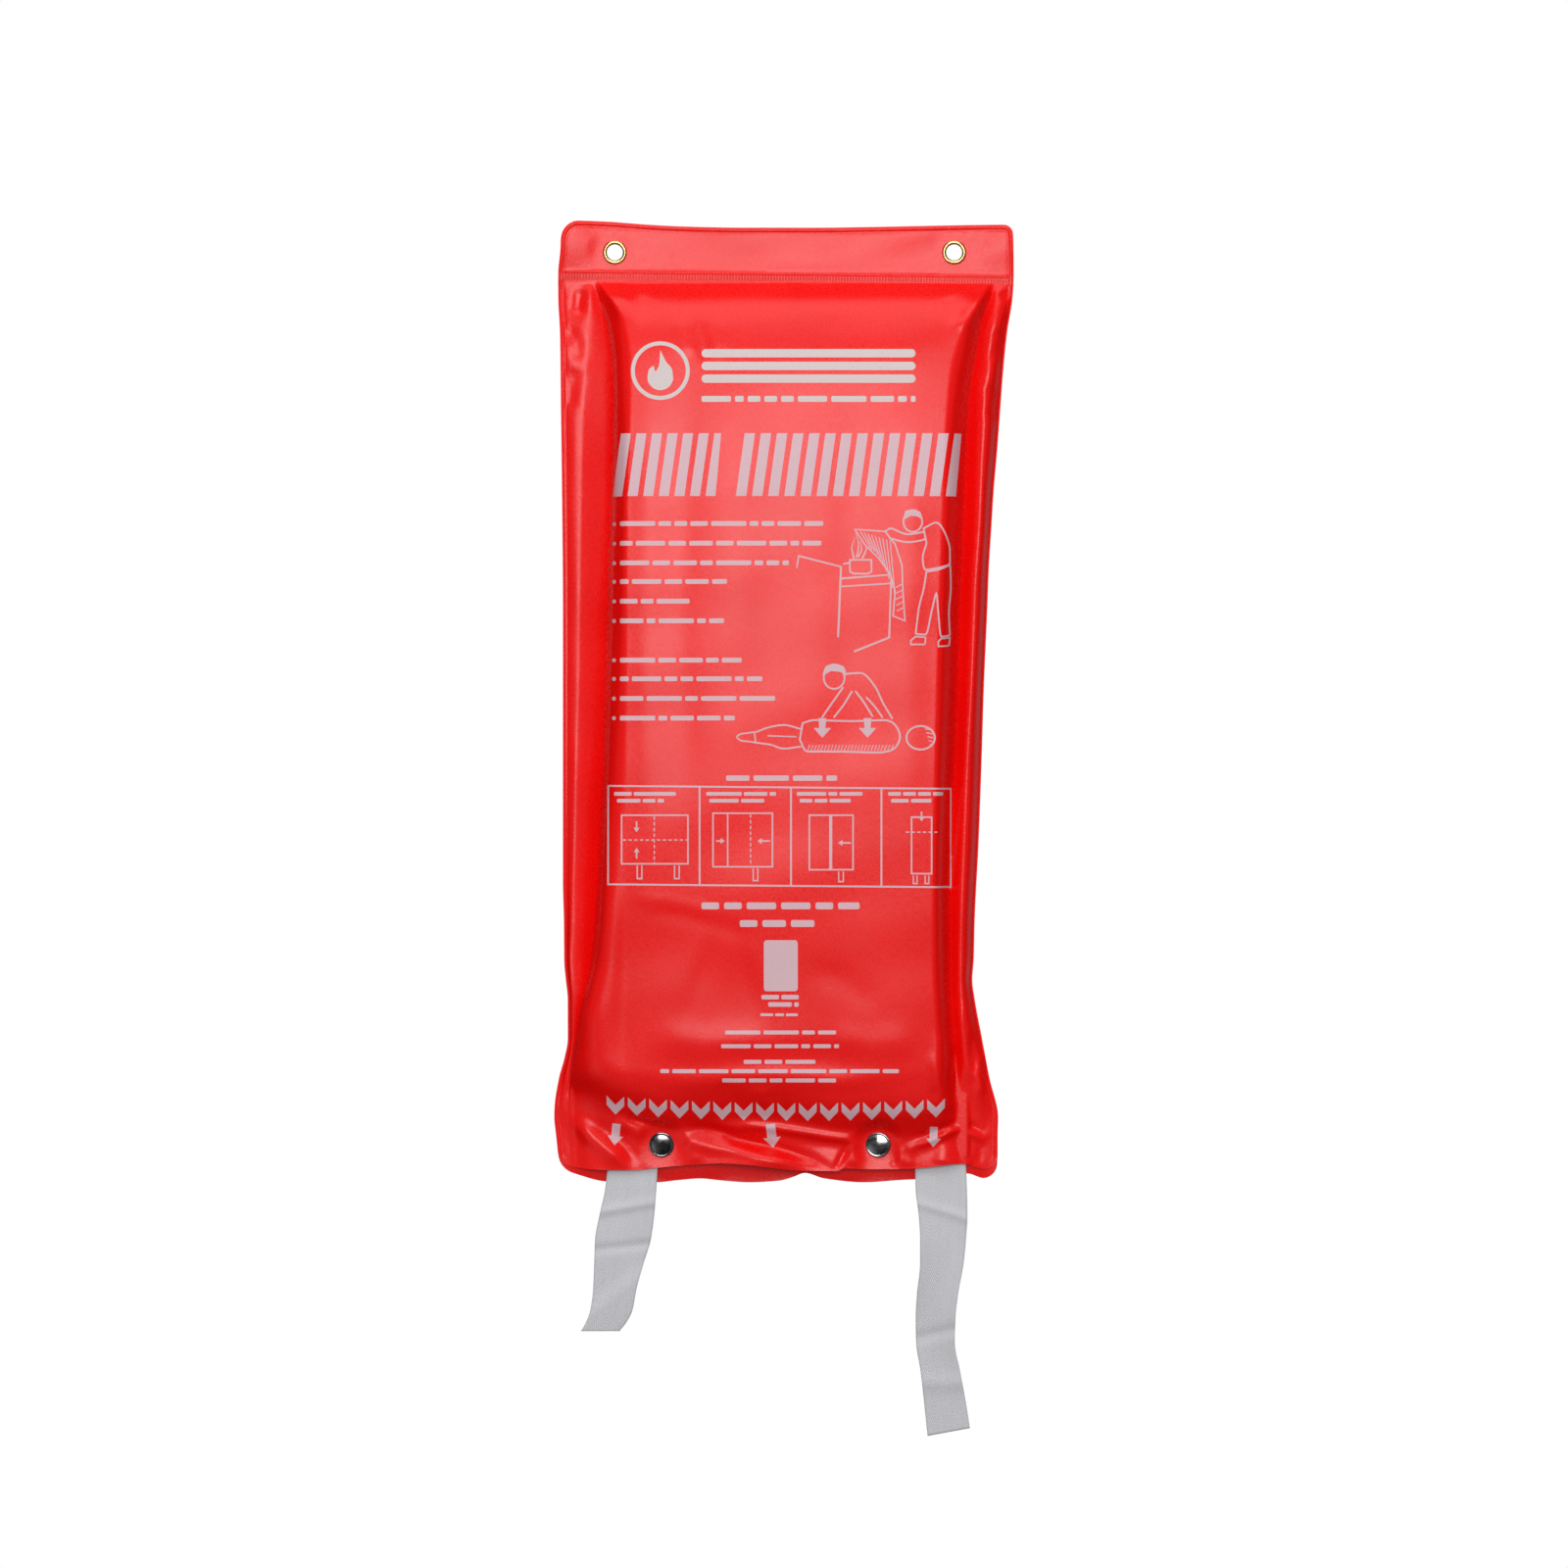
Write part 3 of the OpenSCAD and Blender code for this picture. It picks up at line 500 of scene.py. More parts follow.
def hollow(pts, w, kind=1):
    """A closed shape drawn as a line of width w."""
    p = np.array(pts, float)
    area = np.sum(p[:, 0] * np.roll(p[:, 1], -1) - np.roll(p[:, 0], -1) * p[:, 1])
    if area < 0:
        p = p[::-1]
    e1 = p - np.roll(p, 1, 0)
    e2 = np.roll(p, -1, 0) - p
    e1 /= np.linalg.norm(e1, axis=1)[:, None] + 1e-9
    e2 /= np.linalg.norm(e2, axis=1)[:, None] + 1e-9
    n = np.stack([-(e1 + e2)[:, 1], (e1 + e2)[:, 0]], 1)
    n /= np.linalg.norm(n, axis=1)[:, None] + 1e-9
    k = 1.0 / np.maximum(0.5, n[:, 0] * -e1[:, 1] + n[:, 1] * e1[:, 0])
    ink([tuple(q) for q in p - n * k[:, None] * w / 2], kind)
    ink([tuple(q) for q in p + n * k[:, None] * w / 2], 0)


def words(a0, a1, b, h, seed, gap=3.2, kind=1):
    """A line of plain word-length bars that stands for a line of text."""
    r = np.random.default_rng(seed)
    a = a0
    while a < a1 - 3:
        w = float(r.choice([9, 13, 18, 24, 30, 36]))
        e = min(a + w, a1)
        if a1 - e < 7:
            e = a1
        bar(a, b - h / 2, e, b + h / 2, r=h * 0.28, kind=kind)
        a = e + gap


def arrow(a, b, s=1.0, tilt=0.0, kind=1):
    """Plain block arrow pointing down, tail at (a, b)."""
    pts = [(-5, 0), (5, 0), (5, 15), (9.5, 15), (0, 26), (-9.5, 15), (-5, 15)]
    c, n = math.cos(tilt), math.sin(tilt)
    ink([(a + s * (x * c - y * n), b + s * (x * n + y * c)) for x, y in pts], kind)


def build_print():
    # badge: plain ring, flame of three tongues, and two plain bars
    ring = [(674 + 30 * math.cos(t), 379 + 30 * math.sin(t)) for t in np.linspace(0, 2 * math.pi, 44, endpoint=False)]
    ink(ring, 2)
    ink([(674 + 26 * math.cos(t), 379 + 26 * math.sin(t)) for t in np.linspace(0, 2 * math.pi, 40, endpoint=False)], 0)
    ink(bow([(674, 358), (680, 370), (686, 378), (687, 388), (681, 397), (674, 399), (667, 397), (661, 388), (662, 379), (667, 374), (669, 380), (673, 372), (673.9, 359)], 4), 2)
    for k, (x0, x1) in enumerate(((716, 934), (716, 934), (716, 934))):
        bar(x0, 357 + k * 13, x1, 365.5 + k * 13, r=4.2, kind=2)
    words(716, 934, 408, 6.0, 3, gap=4, kind=2)
    # main heading: two plain bands of slanted stripes
    for a0, a1, n in ((625, 736, 7), (751, 981, 14)):
        pitch = (a1 - a0) / n
        lean = 9.0
        for i in range(n):
            x = a0 + i * pitch
            w = pitch * 0.64
            ink([(x + lean, 443), (min(x + lean + w, a1), 443), (min(x + w, a1), 507), (x, 507)])
    # instruction lines with round bullets
    for i, (b, e) in enumerate(((535, 840), (555, 838), (575, 805), (594, 742), (614, 704), (634, 739), (674, 757), (693, 778), (713, 791), (733, 750))):
        disc(626.8, b, 2.0)
        words(633, e, b, 4.8, 20 + i)
    # pictogram: a person lowering a blanket over a pan on a stove, in plain outline
    stroke([(815, 568), (858, 579)], 1.6)
    stroke([(815, 568), (813, 580)], 1.4)
    stroke([(858, 579), (855, 650)], 2.0)
    stroke([(858, 591), (909, 587), (907, 651)], 2.0)
    stroke([(859, 599), (908, 596)], 1.4)
    stroke([(907, 651), (872, 665)], 2.0)
    hollow([(867, 572), (889, 572), (889, 584), (885, 586), (871, 586), (867, 584)], 1.6)
    stroke([(861, 576), (867, 575)], 1.8)
    for pts in ([(871, 570), (869, 560), (872, 549)], [(874, 569), (876, 556), (873, 544)], [(880, 570), (884, 559), (881, 549)], [(876, 568), (879, 561), (878, 553)]):
        stroke(bow(pts, 4), 1.8, taper=0.3)
    cloth_shape = [(872, 541), (903, 543), (913, 556), (920, 578), (921, 606), (923, 634), (911, 629), (913, 604), (908, 586), (896, 570), (882, 556)]
    hollow(cloth_shape, 1.4)
    for k in range(9):
        u = k / 8
        p0 = (878 + 30 * u, 543.5 + 9 * u)
        p1 = (889 + 24 * u, 561 + 40 * u * u + 10 * u)
        stroke([p0, p1], 1.0)
    for k in range(5):
        stroke([(913.5 + k * 0.4, 600 + k * 6), (919.5 + k * 0.3, 597 + k * 6)], 1.0)
    hollow([(931 + 9.6 * math.cos(t), 533 + 10.6 * math.sin(t)) for t in np.linspace(0, 2 * math.pi, 24, endpoint=False)], 1.7)
    ink(bow([(922, 531), (923, 523), (931, 520.5), (939, 524), (941, 532), (936, 528), (929, 527)], 4))
    hollow(bow([(903, 543), (909, 540), (926, 546), (944, 543), (944, 550), (926, 554), (908, 550)], 5), 1.7)
    hollow(bow([(942, 540), (955, 534), (964, 545), (969, 562), (969, 575), (957, 580), (944, 582), (941, 570), (945, 555)], 5), 1.7)
    hollow(bow([(945, 584), (957, 582), (969, 577), (970, 600), (968, 625), (969, 648), (960, 650), (957, 626), (955, 606), (950, 625), (944, 648), (934, 647), (937, 622), (942, 602)], 4), 1.7)
    hollow(bow([(934, 650), (944, 651), (943, 658), (929, 658), (929, 654)], 4), 1.5)
    hollow(bow([(960, 652), (969, 651), (968, 659), (957, 660), (957, 655)], 4), 1.5)
    # pictogram: a person kneeling beside someone wrapped in a blanket, in plain outline
    hollow([(851 + 10.6 * math.cos(t), 692 + 11.2 * math.sin(t)) for t in np.linspace(0, 2 * math.pi, 26, endpoint=False)], 1.7)
    ink(bow([(839, 690), (842, 681), (851, 677.5), (861, 681), (864, 690), (857, 686), (848, 685)], 4))
    stroke(bow([(862, 688), (878, 687), (892, 700), (901, 718), (910, 733)], 5), 1.8)
    stroke(bow([(860, 702), (850, 716), (839, 732)], 5), 1.8)
    stroke(bow([(869, 706), (861, 719), (851, 732)], 5), 1.8)
    stroke(bow([(873, 706), (882, 718), (890, 731)], 5), 1.8)
    stroke(bow([(884, 712), (893, 722), (900, 732)], 5), 1.8)
    hollow(bow([(819, 738), (832, 735), (868, 736), (902, 735), (914, 741), (918, 752), (912, 764), (896, 768), (850, 767), (824, 767), (816, 755)], 5), 1.8)
    for k in range(26):
        stroke([(824 + k * 3.4, 766), (826 + k * 3.4, 760.5)], 0.9)
    hollow([(939 + 14.5 * math.cos(t), 753 + 12 * math.sin(t)) for t in np.linspace(0, 2 * math.pi, 28, endpoint=False)], 1.8)
    for k in range(5):
        stroke(bow([(944 + k * 1.2, 744 + k * 4), (948 + k * 0.6, 744.5 + k * 4), (951.5 - abs(k - 2) * 0.8, 745 + k * 4)], 3), 1.0)
    stroke(bow([(817, 744), (800, 740), (786, 742), (772, 747)], 5), 1.7)
    stroke(bow([(817, 762), (800, 764), (786, 760), (772, 758)], 5), 1.7)
    stroke([(784, 751), (812, 752)], 1.3)
    hollow(bow([(770, 747), (764, 748), (757, 749), (752, 752), (757, 756), (766, 757), (771, 758)], 4), 1.5)
    for a in (839, 885):
        ink([(a - 4, 733), (a + 4, 733), (a + 3, 743), (a + 9, 743), (a, 753), (a - 9, 743), (a - 3, 743)])
    # small heading and the folding steps in their frame
    words(741, 854, 794, 5.4, 41, gap=4)

    def rect(a0, b0, a1, b1, w):
        bar(a0, b0, a1, b1)
        bar(a0 + w, b0 + w, a1 - w, b1 - w, kind=0)

    f = lambda a, b: (a, b + (a - 620) * 0.0085)
    ink([f(620, 801), f(971, 801), f(971, 903), f(620, 903)])
    for a0, a1 in ((621.8, 713.2), (715.0, 806.2), (808.0, 898.2), (900.0, 969.4)):
        ink([f(a0, 802.8), f(a1, 802.8), f(a1, 901.2), f(a0, 901.2)], 0)
    for a0, a1, s in ((627, 690, 51), (721, 792, 52), (813, 880, 53), (906, 962, 54)):
        words(a0, a1, 810, 3.8, s, gap=2.2)
        words(a0 + 3, a1 - 12, 817, 3.8, s + 7, gap=2.2)

    def dashes(p, q, w=1.3, on=3.4, off=2.4):
        p, q = np.array(p, float), np.array(q, float)
        L = np.linalg.norm(q - p)
        u = (q - p) / L
        t = 0.0
        while t < L - 1:
            e = min(t + on, L)
            n = np.array([-u[1], u[0]]) * w / 2
            a, c = p + u * t, p + u * e
            ink([tuple(a + n), tuple(c + n), tuple(c - n), tuple(a - n)])
            t = e + off

    def small_arrow(a, b, dx, dy, L=11):
        u = np.array([dx, dy], float)
        u /= np.linalg.norm(u)
        n = np.array([-u[1], u[0]])
        p = np.array([a, b], float)
        t = p + u * L
        h = t - u * 4.5
        ink([tuple(p + n * 0.8), tuple(h + n * 0.8), tuple(h + n * 3.0), tuple(t), tuple(h - n * 3.0), tuple(h - n * 0.8), tuple(p - n * 0.8)])

    # step 1: the open cloth with its tapes
    rect(634, 831, 703, 882, 1.5)
    dashes((636, 857), (702, 857))
    dashes((668, 833), (668, 881))
    small_arrow(650, 838, 0, 1)
    small_arrow(650, 876, 0, -1)
    for a in (650, 688):
        bar(a, 883, a + 6, 897)
        bar(a + 1.3, 883, a + 4.7, 895.6, kind=0)
    # step 2: one side folded in
    rect(727, 829, 789, 885, 1.5)
    bar(742, 830, 743.4, 884)
    dashes((766, 831), (766, 884))
    small_arrow(731, 858, 1, 0, 9)
    small_arrow(786, 858, -1, 0, 13)
    bar(768, 886, 774, 899)
    bar(769.3, 886, 772.7, 897.6, kind=0)
    # step 3: the second side folded over
    rect(825, 831, 871, 888, 1.5)
    bar(846, 832, 849, 887)
    small_arrow(868, 860, -1, 0, 13)
    bar(855, 889, 861, 900)
    bar(856.3, 889, 859.7, 898.6, kind=0)
    # step 4: the narrow pack
    rect(929, 833, 951, 892, 1.5)
    dashes((924, 849), (956, 849))
    small_arrow(940, 828, 0, 1, 10)
    for a in (931, 943):
        bar(a, 893, a + 5, 902)
        bar(a + 1.2, 893, a + 3.8, 900.7, kind=0)
    # lines below the frame, a plain block, and small print
    words(716, 877, 924, 7.0, 61, gap=5)
    words(755, 838, 942, 7.0, 62, gap=5)
    bar(779.5, 959, 814, 1011, r=3)
    words(777, 815, 1017, 4.6, 63, gap=2.4)
    words(784, 815, 1024.5, 4.6, 64, gap=2.4)
    words(776, 814, 1035, 2.8, 65, gap=2)
    words(740, 853, 1053, 4.0, 66)
    words(736, 856, 1067, 4.0, 67)
    words(759, 832, 1083, 4.0, 68)
    words(674, 917, 1092.5, 4.0, 69)
    words(737, 853, 1102, 4.0, 70)
    # curved row of plain chevrons pointing down, and three arrows
    n = 16
    for i in range(n):
        c = 628 + (955 - 628) * i / (n - 1)
        b = 1119 + 6.0 * (1 - ((c - 792) / 175) ** 2) + (c - 792) * 0.008
        sl = -12.0 * (c - 792) / 175 ** 2
        P = [(-9, 0), (0, 9), (9, 0), (9, 9.5), (0, 19), (-9, 9.5)]
        ink([(c + x, b + y + sl * x) for x, y in P])
    arrow(629, 1147, 0.85, 0.10)
    arrow(786, 1147, 0.95, -0.12)
    arrow(953, 1150, 0.80, 0.03)


build_print()


# ------------------------------------------------------------------ meshes
def key(p):
    return (round(float(p[0]), 4), round(float(p[1]), 4))


def snap(pts):
    """Coordinates that survive single precision, so the same point is found again after the triangulation."""
    return np.round(np.asarray(pts, float) * 1024) / 1024


def thin_near(points, fixed, r):
    """Drops the points closer than r to any of the fixed points."""
    cell = {}
    for p in fixed:
        cell.setdefault((int(p[0] // r), int(p[1] // r)), []).append(p)
    keep = []
    for p in points:
        i, j = int(p[0] // r), int(p[1] // r)
        ok = True
        for di in (-1, 0, 1):
            for dj in (-1, 0, 1):
                for q in cell.get((i + di, j + dj), ()):
                    if (p[0] - q[0]) ** 2 + (p[1] - q[1]) ** 2 < r * r:
                        ok = False
                        break
                if not ok:
                    break
            if not ok:
                break
        if ok:
            keep.append(p)
    return keep


def triangulate(loop, holes, shapes, interior, gap, creases=()):
    """Triangles inside the loop and outside the holes. Returns points, triangles and each triangle's last shape, or -1."""
    verts, faces = [], []

    def add(poly):
        poly = np.asarray(poly, float)
        if np.sum(poly[:, 0] * np.roll(poly[:, 1], -1) - np.roll(poly[:, 0], -1) * poly[:, 1]) < 0:
            poly = poly[::-1]                   # the triangulation wants every shape anticlockwise
        i = len(verts)
        verts.extend(Vector((float(p[0]), float(p[1]))) for p in poly)
        faces.append(list(range(i, i + len(poly))))

    add(loop)
    for h in holes:
        add(h)
    fixed = list(loop) + [p for h in holes for p in h]
    edges = []
    for c in creases:
        i = len(verts)
        verts.extend(Vector((float(p[0]), float(p[1]))) for p in c)
        edges += [(k, k + 1) for k in range(i, i + len(c) - 1)]
        fixed += list(c)
    for s in shapes:
        s = densify(s, 1.5)
        add(s)
        fixed += list(s)
    free = thin_near(interior, fixed, gap)
    verts.extend(Vector((float(p[0]), float(p[1]))) for p in free)
    co, _, tri, _, _, who = delaunay_2d_cdt(verts, edges, faces, 0, 1e-5, True)
    co = np.array([(c.x, c.y) for c in co])
    nh = len(holes)
    T, K = [], []
    for f, ids in zip(tri, who):
        if 0 not in ids or any(1 <= i <= nh for i in ids) or len(f) != 3:
            continue
        p, q, r = co[f[0]], co[f[1]], co[f[2]]
        if abs((q[0] - p[0]) * (r[1] - p[1]) - (q[1] - p[1]) * (r[0] - p[0])) < 1e-7:
            continue
        T.append(f)
        s = [i for i in ids if i > nh]
        K.append(max(s) - nh - 1 if s else -1)
    return co, T, K


def densify(poly, step):
    out = []
    n = len(poly)
    for i in range(n):
        p, q = poly[i], poly[(i + 1) % n]
        m = max(1, int(math.ceil(np.linalg.norm(q - p) / step)))
        out += [p + (q - p) * t / m for t in range(m)]
    return np.array(out)


def sheet(name, loop, holes, interior, outer, inner, shapes=(), kinds=(), inner_points=None, gap=0.55, creases=()):
    """A closed thin sheet: an outer face with the print cut flush into it, an inner face, and rims round the edge and the holes."""
    loop, holes, creases = snap(loop), [snap(h) for h in holes], [snap(c) for c in creases]
    co, T, K = triangulate(loop, holes, shapes, interior, gap, creases)
    ci, TI, _ = triangulate(loop, holes, [], inner_points if inner_points is not None else interior, gap, creases)
    d_out, d_in = outer(co[:, 0], co[:, 1]), inner(ci[:, 0], ci[:, 1])
    V = np.vstack([np.stack([co[:, 0], -d_out, co[:, 1]], 1), np.stack([ci[:, 0], -d_in, ci[:, 1]], 1)]) * MM
    n = len(co)
    F, M = [], []
    for f, k in zip(T, K):
        p, q, r = co[f[0]], co[f[1]], co[f[2]]
        area = (q[0] - p[0]) * (r[1] - p[1]) - (q[1] - p[1]) * (r[0] - p[0])
        F.append((f[0], f[1], f[2]) if area > 0 else (f[0], f[2], f[1]))      # front faces look along -Y
        M.append(0 if k < 0 else kinds[k])
    for f in TI:
        p, q, r = ci[f[0]], ci[f[1]], ci[f[2]]
        area = (q[0] - p[0]) * (r[1] - p[1]) - (q[1] - p[1]) * (r[0] - p[0])
        F.append(tuple(n + i for i in ((f[0], f[2], f[1]) if area > 0 else (f[0], f[1], f[2]))))
        M.append(0)
    io = {key(p): i for i, p in enumerate(co)}
    ii = {key(p): n + i for i, p in enumerate(ci)}
    rims = set()
    for lp, sign in [(loop, 1)] + [(h, -1) for h in holes]:
        area = 0.5 * np.sum(lp[:, 0] * np.roll(lp[:, 1], -1) - np.roll(lp[:, 0], -1) * lp[:, 1])
        seq = lp if area * sign > 0 else lp[::-1]
        m = len(seq)
        for i in range(m):
            a, b = key(seq[i]), key(seq[(i + 1) % m])
            if a in io and b in io and a in ii and b in ii:
                F.append((io[b], io[a], ii[a], ii[b]))
                M.append(0)
                rims |= {(min(io[a], io[b]), max(io[a], io[b])), (min(ii[a], ii[b]), max(ii[a], ii[b]))}
    me = bpy.data.meshes.new(name)
    me.from_pydata([tuple(v) for v in V], [], F)
    me.polygons.foreach_set("material_index", np.array(M, np.int32))
    me.polygons.foreach_set("use_smooth", np.ones(len(F), bool))
    me.update()
    me.validate()
    on = {key(p): (i, k) for i, c in enumerate(creases) for k, p in enumerate(c)}
    rank = [on.get(key(p)) for p in co] + [on.get(key(p)) for p in ci]
    for e in me.edges:
        i, j = e.vertices
        crease = rank[i] and rank[j] and rank[i][0] == rank[j][0] and abs(rank[i][1] - rank[j][1]) == 1 and (i < n) == (j < n)
        if crease or (min(i, j), max(i, j)) in rims:
            e.use_edge_sharp = True
    ob = bpy.data.objects.new(name, me)
    bpy.context.scene.collection.objects.link(ob)
    return ob


def circle(c, r, n=40):
    t = np.linspace(0, 2 * math.pi, n, endpoint=False)
    return np.stack([c.x + r * np.cos(t), c.z + r * np.sin(t)], 1)


def rows_points(loop, fine=1.0):
    """Grid points for the front sheet: close together over the side rolls, the top seam and the lower folds."""
    pts = []
    zs = []
    b = 233.0
    while b < 1188:
        zs.append(b)
        if b < 274:
            b += 3.6
        elif b < 292:
            b += 2.0
        elif b < 400:
            b += 2.6
        elif b < 1040:
            b += 3.9
        elif b < 1090:
            b += 3.0
        else:
            b += 2.2
    for k, b in enumerate(zs):
        eL, eR = float(curve(b, EDGE_L)), float(curve(b, EDGE_R))
        side = 1.9
        mid = 3.9 if 400 < b < 1040 else (3.0 if b < 1090 else 2.3)
        xs = list(np.arange(eL + 7, eL + 80, side)) + list(np.arange(eL + 80, eR - 68, mid)) + list(np.arange(eR - 68, eR - 7, side))
        off = 0.5 * side if k % 2 else 0.0
        pts += [(float(gx(x + off)), float(gz(b))) for x in xs]
    # lines that follow the edge all the way round, for the weld bead
    lines = []
    nxt, prv = np.roll(loop, -1, 0), np.roll(loop, 1, 0)
    tan = (nxt - prv) / np.linalg.norm(nxt - prv, axis=1)[:, None]
    nrm = np.stack([tan[:, 1], -tan[:, 0]], 1)
    for k, dd in enumerate((0.6, 1.05, 1.45, 1.85, 2.3, 2.8, 3.4)):
        lines += [tuple(p) for p in loop + nrm * dd]
    # rings round the studs and eyelets
    for c in EYE + STUD:
        for r in (5.2, 6.1, 7.1, 8.3, 9.8):
            lines += [tuple(p) for p in circle(c, r, int(2 * math.pi * r / 1.3))]
    # toothed band
    for k, x in enumerate(np.arange(float(gx(575)), float(gx(1031)), 1.47 / 8)):
        a = 800.5 + x / U
        b1, b2 = band_rows(a)
        for t in (-0.34, -0.20, -0.06, 0.08, 0.24, 0.5, 0.74, 0.88, 1.02) if k % 2 else (-0.27, -0.13, 0.01, 0.15, 0.36, 0.62, 0.8, 0.96):
            lines.append((x, float(gz(b1 + (b2 - b1) * t))))
    # close lines beside the sharp creases, on the steep wall and on its rounded top
    for v_tab, c_tab, side in ((VALLEY_L, CREASE_L, 1), (VALLEY_R, None, -1)):
        for b in np.arange(290, 1132, 1.5):
            x = float(gx(curve(b, v_tab)))
            steep = (float(gx(curve(b, c_tab))) - x) if c_tab else -4.0
            lines += [(x + steep * f, float(gz(b + 0.75 * (k % 2)))) for k, f in enumerate((0.22, 0.45, 0.72, 1.0, 1.35, 1.8))]
            lines += [(x - side * 0.7, float(gz(b + 0.75))), (x - side * 1.5, float(gz(b)))]
    lines = spaced(lines[::-1], 0.30)
    pts = [p for p, d in zip(pts, edge_distance(np.array([q[0] for q in pts]), np.array([q[1] for q in pts]))) if d > 4.0]
    return lines + thin_near(spaced(pts, 0.5), lines, 0.62)


def crease_lines():
    """The two sharp creases between the filled front and its side rolls."""
    return [np.array([(float(gx(curve(b, t))), float(gz(b))) for b in np.arange(292, 1124, 1.5)]) for t in (VALLEY_L, VALLEY_R)]


def spaced(points, r):
    """Keeps points at least r apart, first come first kept."""
    cell, keep = {}, []
    for p in points:
        i, j = int(p[0] // r), int(p[1] // r)
        if any((p[0] - q[0]) ** 2 + (p[1] - q[1]) ** 2 < r * r for di in (-1, 0, 1) for dj in (-1, 0, 1) for q in cell.get((i + di, j + dj), ())):
            continue
        cell.setdefault((i, j), []).append(p)
        keep.append(p)
    return keep


back_loop = outline(BACK_LOW, (18, 20), (9, 10), 14, inset=0.15)
interior = rows_points(front_loop)
front = sheet("front_sheet", front_loop, [circle(c, 4.5) for c in EYE] + [circle(c, 1.6, 20) for c in STUD], interior, front_depth,
              lambda x, z: np.maximum(front_depth(x, z) - 0.55, 1.22 + wave(x, z)), [s for s, _ in INK], [k for _, k in INK], creases=crease_lines())
back_pts = [(x, z) for x in np.arange(-118, 118, 2.4) for z in np.arange(14, -464, -2.4)]
back = sheet("back_sheet", back_loop, [circle(c, 4.5) for c in EYE] + [circle(c, 1.3, 20) for c in STUD], back_pts, back_depth,
             lambda x, z: np.maximum(back_depth(x, z) - 0.58, 0.02), (), (), None)


def grid_object(name, P, closed_u=False, closed_v=False, uv=None, cap=True):
    """Mesh from an array of points [rows, columns, 3], in mm."""
    r, c = P.shape[:2]
    V = P.reshape(-1, 3) * MM
    F = []
    for i in range(r if closed_v else r - 1):
        for j in range(c if closed_u else c - 1):
            a, b = i * c + j, i * c + (j + 1) % c
            d, e = ((i + 1) % r) * c + j, ((i + 1) % r) * c + (j + 1) % c
            F.append((a, b, e, d))
    if cap and closed_u and not closed_v:
        F.append(tuple(range(c))[::-1])
        F.append(tuple((r - 1) * c + j for j in range(c)))
    me = bpy.data.meshes.new(name)
    me.from_pydata([tuple(v) for v in V], [], F)
    me.polygons.foreach_set("use_smooth", np.ones(len(F), bool))
    if uv is not None:
        layer = me.uv_layers.new(name="tape")
        flat = uv.reshape(-1, 2)
        idx = np.zeros(len(me.loops), np.int32)
        me.loops.foreach_get("vertex_index", idx)
        layer.data.foreach_set("uv", flat[idx].astype(np.float32).ravel())
    me.update()
    ob = bpy.data.objects.new(name, me)
    bpy.context.scene.collection.objects.link(ob)
    return ob


# ------------------------------------------------------------------ tapes
def tape(name, rows, root_top, x_mid, width, depth_fn):
    """A flat woven tape. rows are (layout row, left edge, right edge); the part above the mouth is straight and hidden."""
    lo_b = rows[0][0]
    n_top = 40
    b_root = np.linspace(256.5 - root_top / U, lo_b, n_top, endpoint=False)
    b_tail = np.concatenate([np.linspace(lo_b, rows[-1][0], 110)])
    bs = np.r_[b_root, b_tail]
    left = np.where(bs < lo_b, 800.5 + (x_mid - width / 2) / U, curve(bs, [(r[0], r[1]) for r in rows]))
    right = np.where(bs < lo_b, 800.5 + (x_mid + width / 2) / U, curve(bs, [(r[0], r[2]) for r in rows]))
    t = smooth((bs - (lo_b - 40)) / 40)
    left = np.where(bs < lo_b, (800.5 + (x_mid - width / 2) / U) * (1 - t) + rows[0][1] * t, left)
    right = np.where(bs < lo_b, (800.5 + (x_mid + width / 2) / U) * (1 - t) + rows[0][2] * t, right)
    us = np.linspace(0, 1, 21)
    X = gx(left)[:, None] * (1 - us) + gx(right)[:, None] * us
    B = bs[:, None] + np.zeros_like(us)
    slant = rows[-1][3] if len(rows[-1]) > 3 else 0.0
    B = B + slant * (us - 0.5) * smooth((bs - (rows[-1][0] - 40)) / 40)[:, None]
    Zc = gz(B)
    D = depth_fn(B, us[None, :] + np.zeros_like(B), X)
    th = 0.9
    t_edge = th * (1 - 0.45 * np.abs(2 * us - 1) ** 8)
    front_side = np.stack([X, -(D + t_edge / 2), Zc], 2)
    back_side = np.stack([X, -(D - t_edge / 2), Zc], 2)
    ring = np.concatenate([front_side, back_side[:, ::-1]], 1)
    along = np.r_[0, np.cumsum(np.hypot(np.diff(Zc[:, 10]), np.diff(X[:, 10])))]
    uv1 = np.stack([np.broadcast_to(us * 25.0, X.shape), np.broadcast_to(along[:, None], X.shape)], 2)
    uv = np.concatenate([uv1, uv1[:, ::-1]], 1)
    return grid_object(name, ring, closed_u=True, uv=uv)


b_lip = 256.5 - float(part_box("tape_root_left")[0].z) * 1000 / U     # row where the tapes swing
d_tape = 4.0


def depth_left(B, u, X):
    d = d_tape + 1.2 * (1 - smooth((B - 1060) / 60)) * 0.5
    s = (B - 1196)
    on = smooth(s / 14)
    # the tail hangs a little forward, with two soft cross creases and one diagonal fold near its end
    d = d + on * (1.4 * np.sin(np.clip(s, 0, 200) / 52.0) + 0.7 * (u - 0.5) * np.sin(s / 30.0))
    d = d + on * 1.1 * np.exp(-(((B - 1232 + 10 * (u - 0.5)) / 5) ** 2)) - on * 0.9 * np.exp(-(((B - 1273 + 6 * (u - 0.5)) / 5) ** 2))
    d = d + on * 1.5 * smooth((B - 1322 + 40 * u) / 26)
    return np.maximum(d, 0.9)


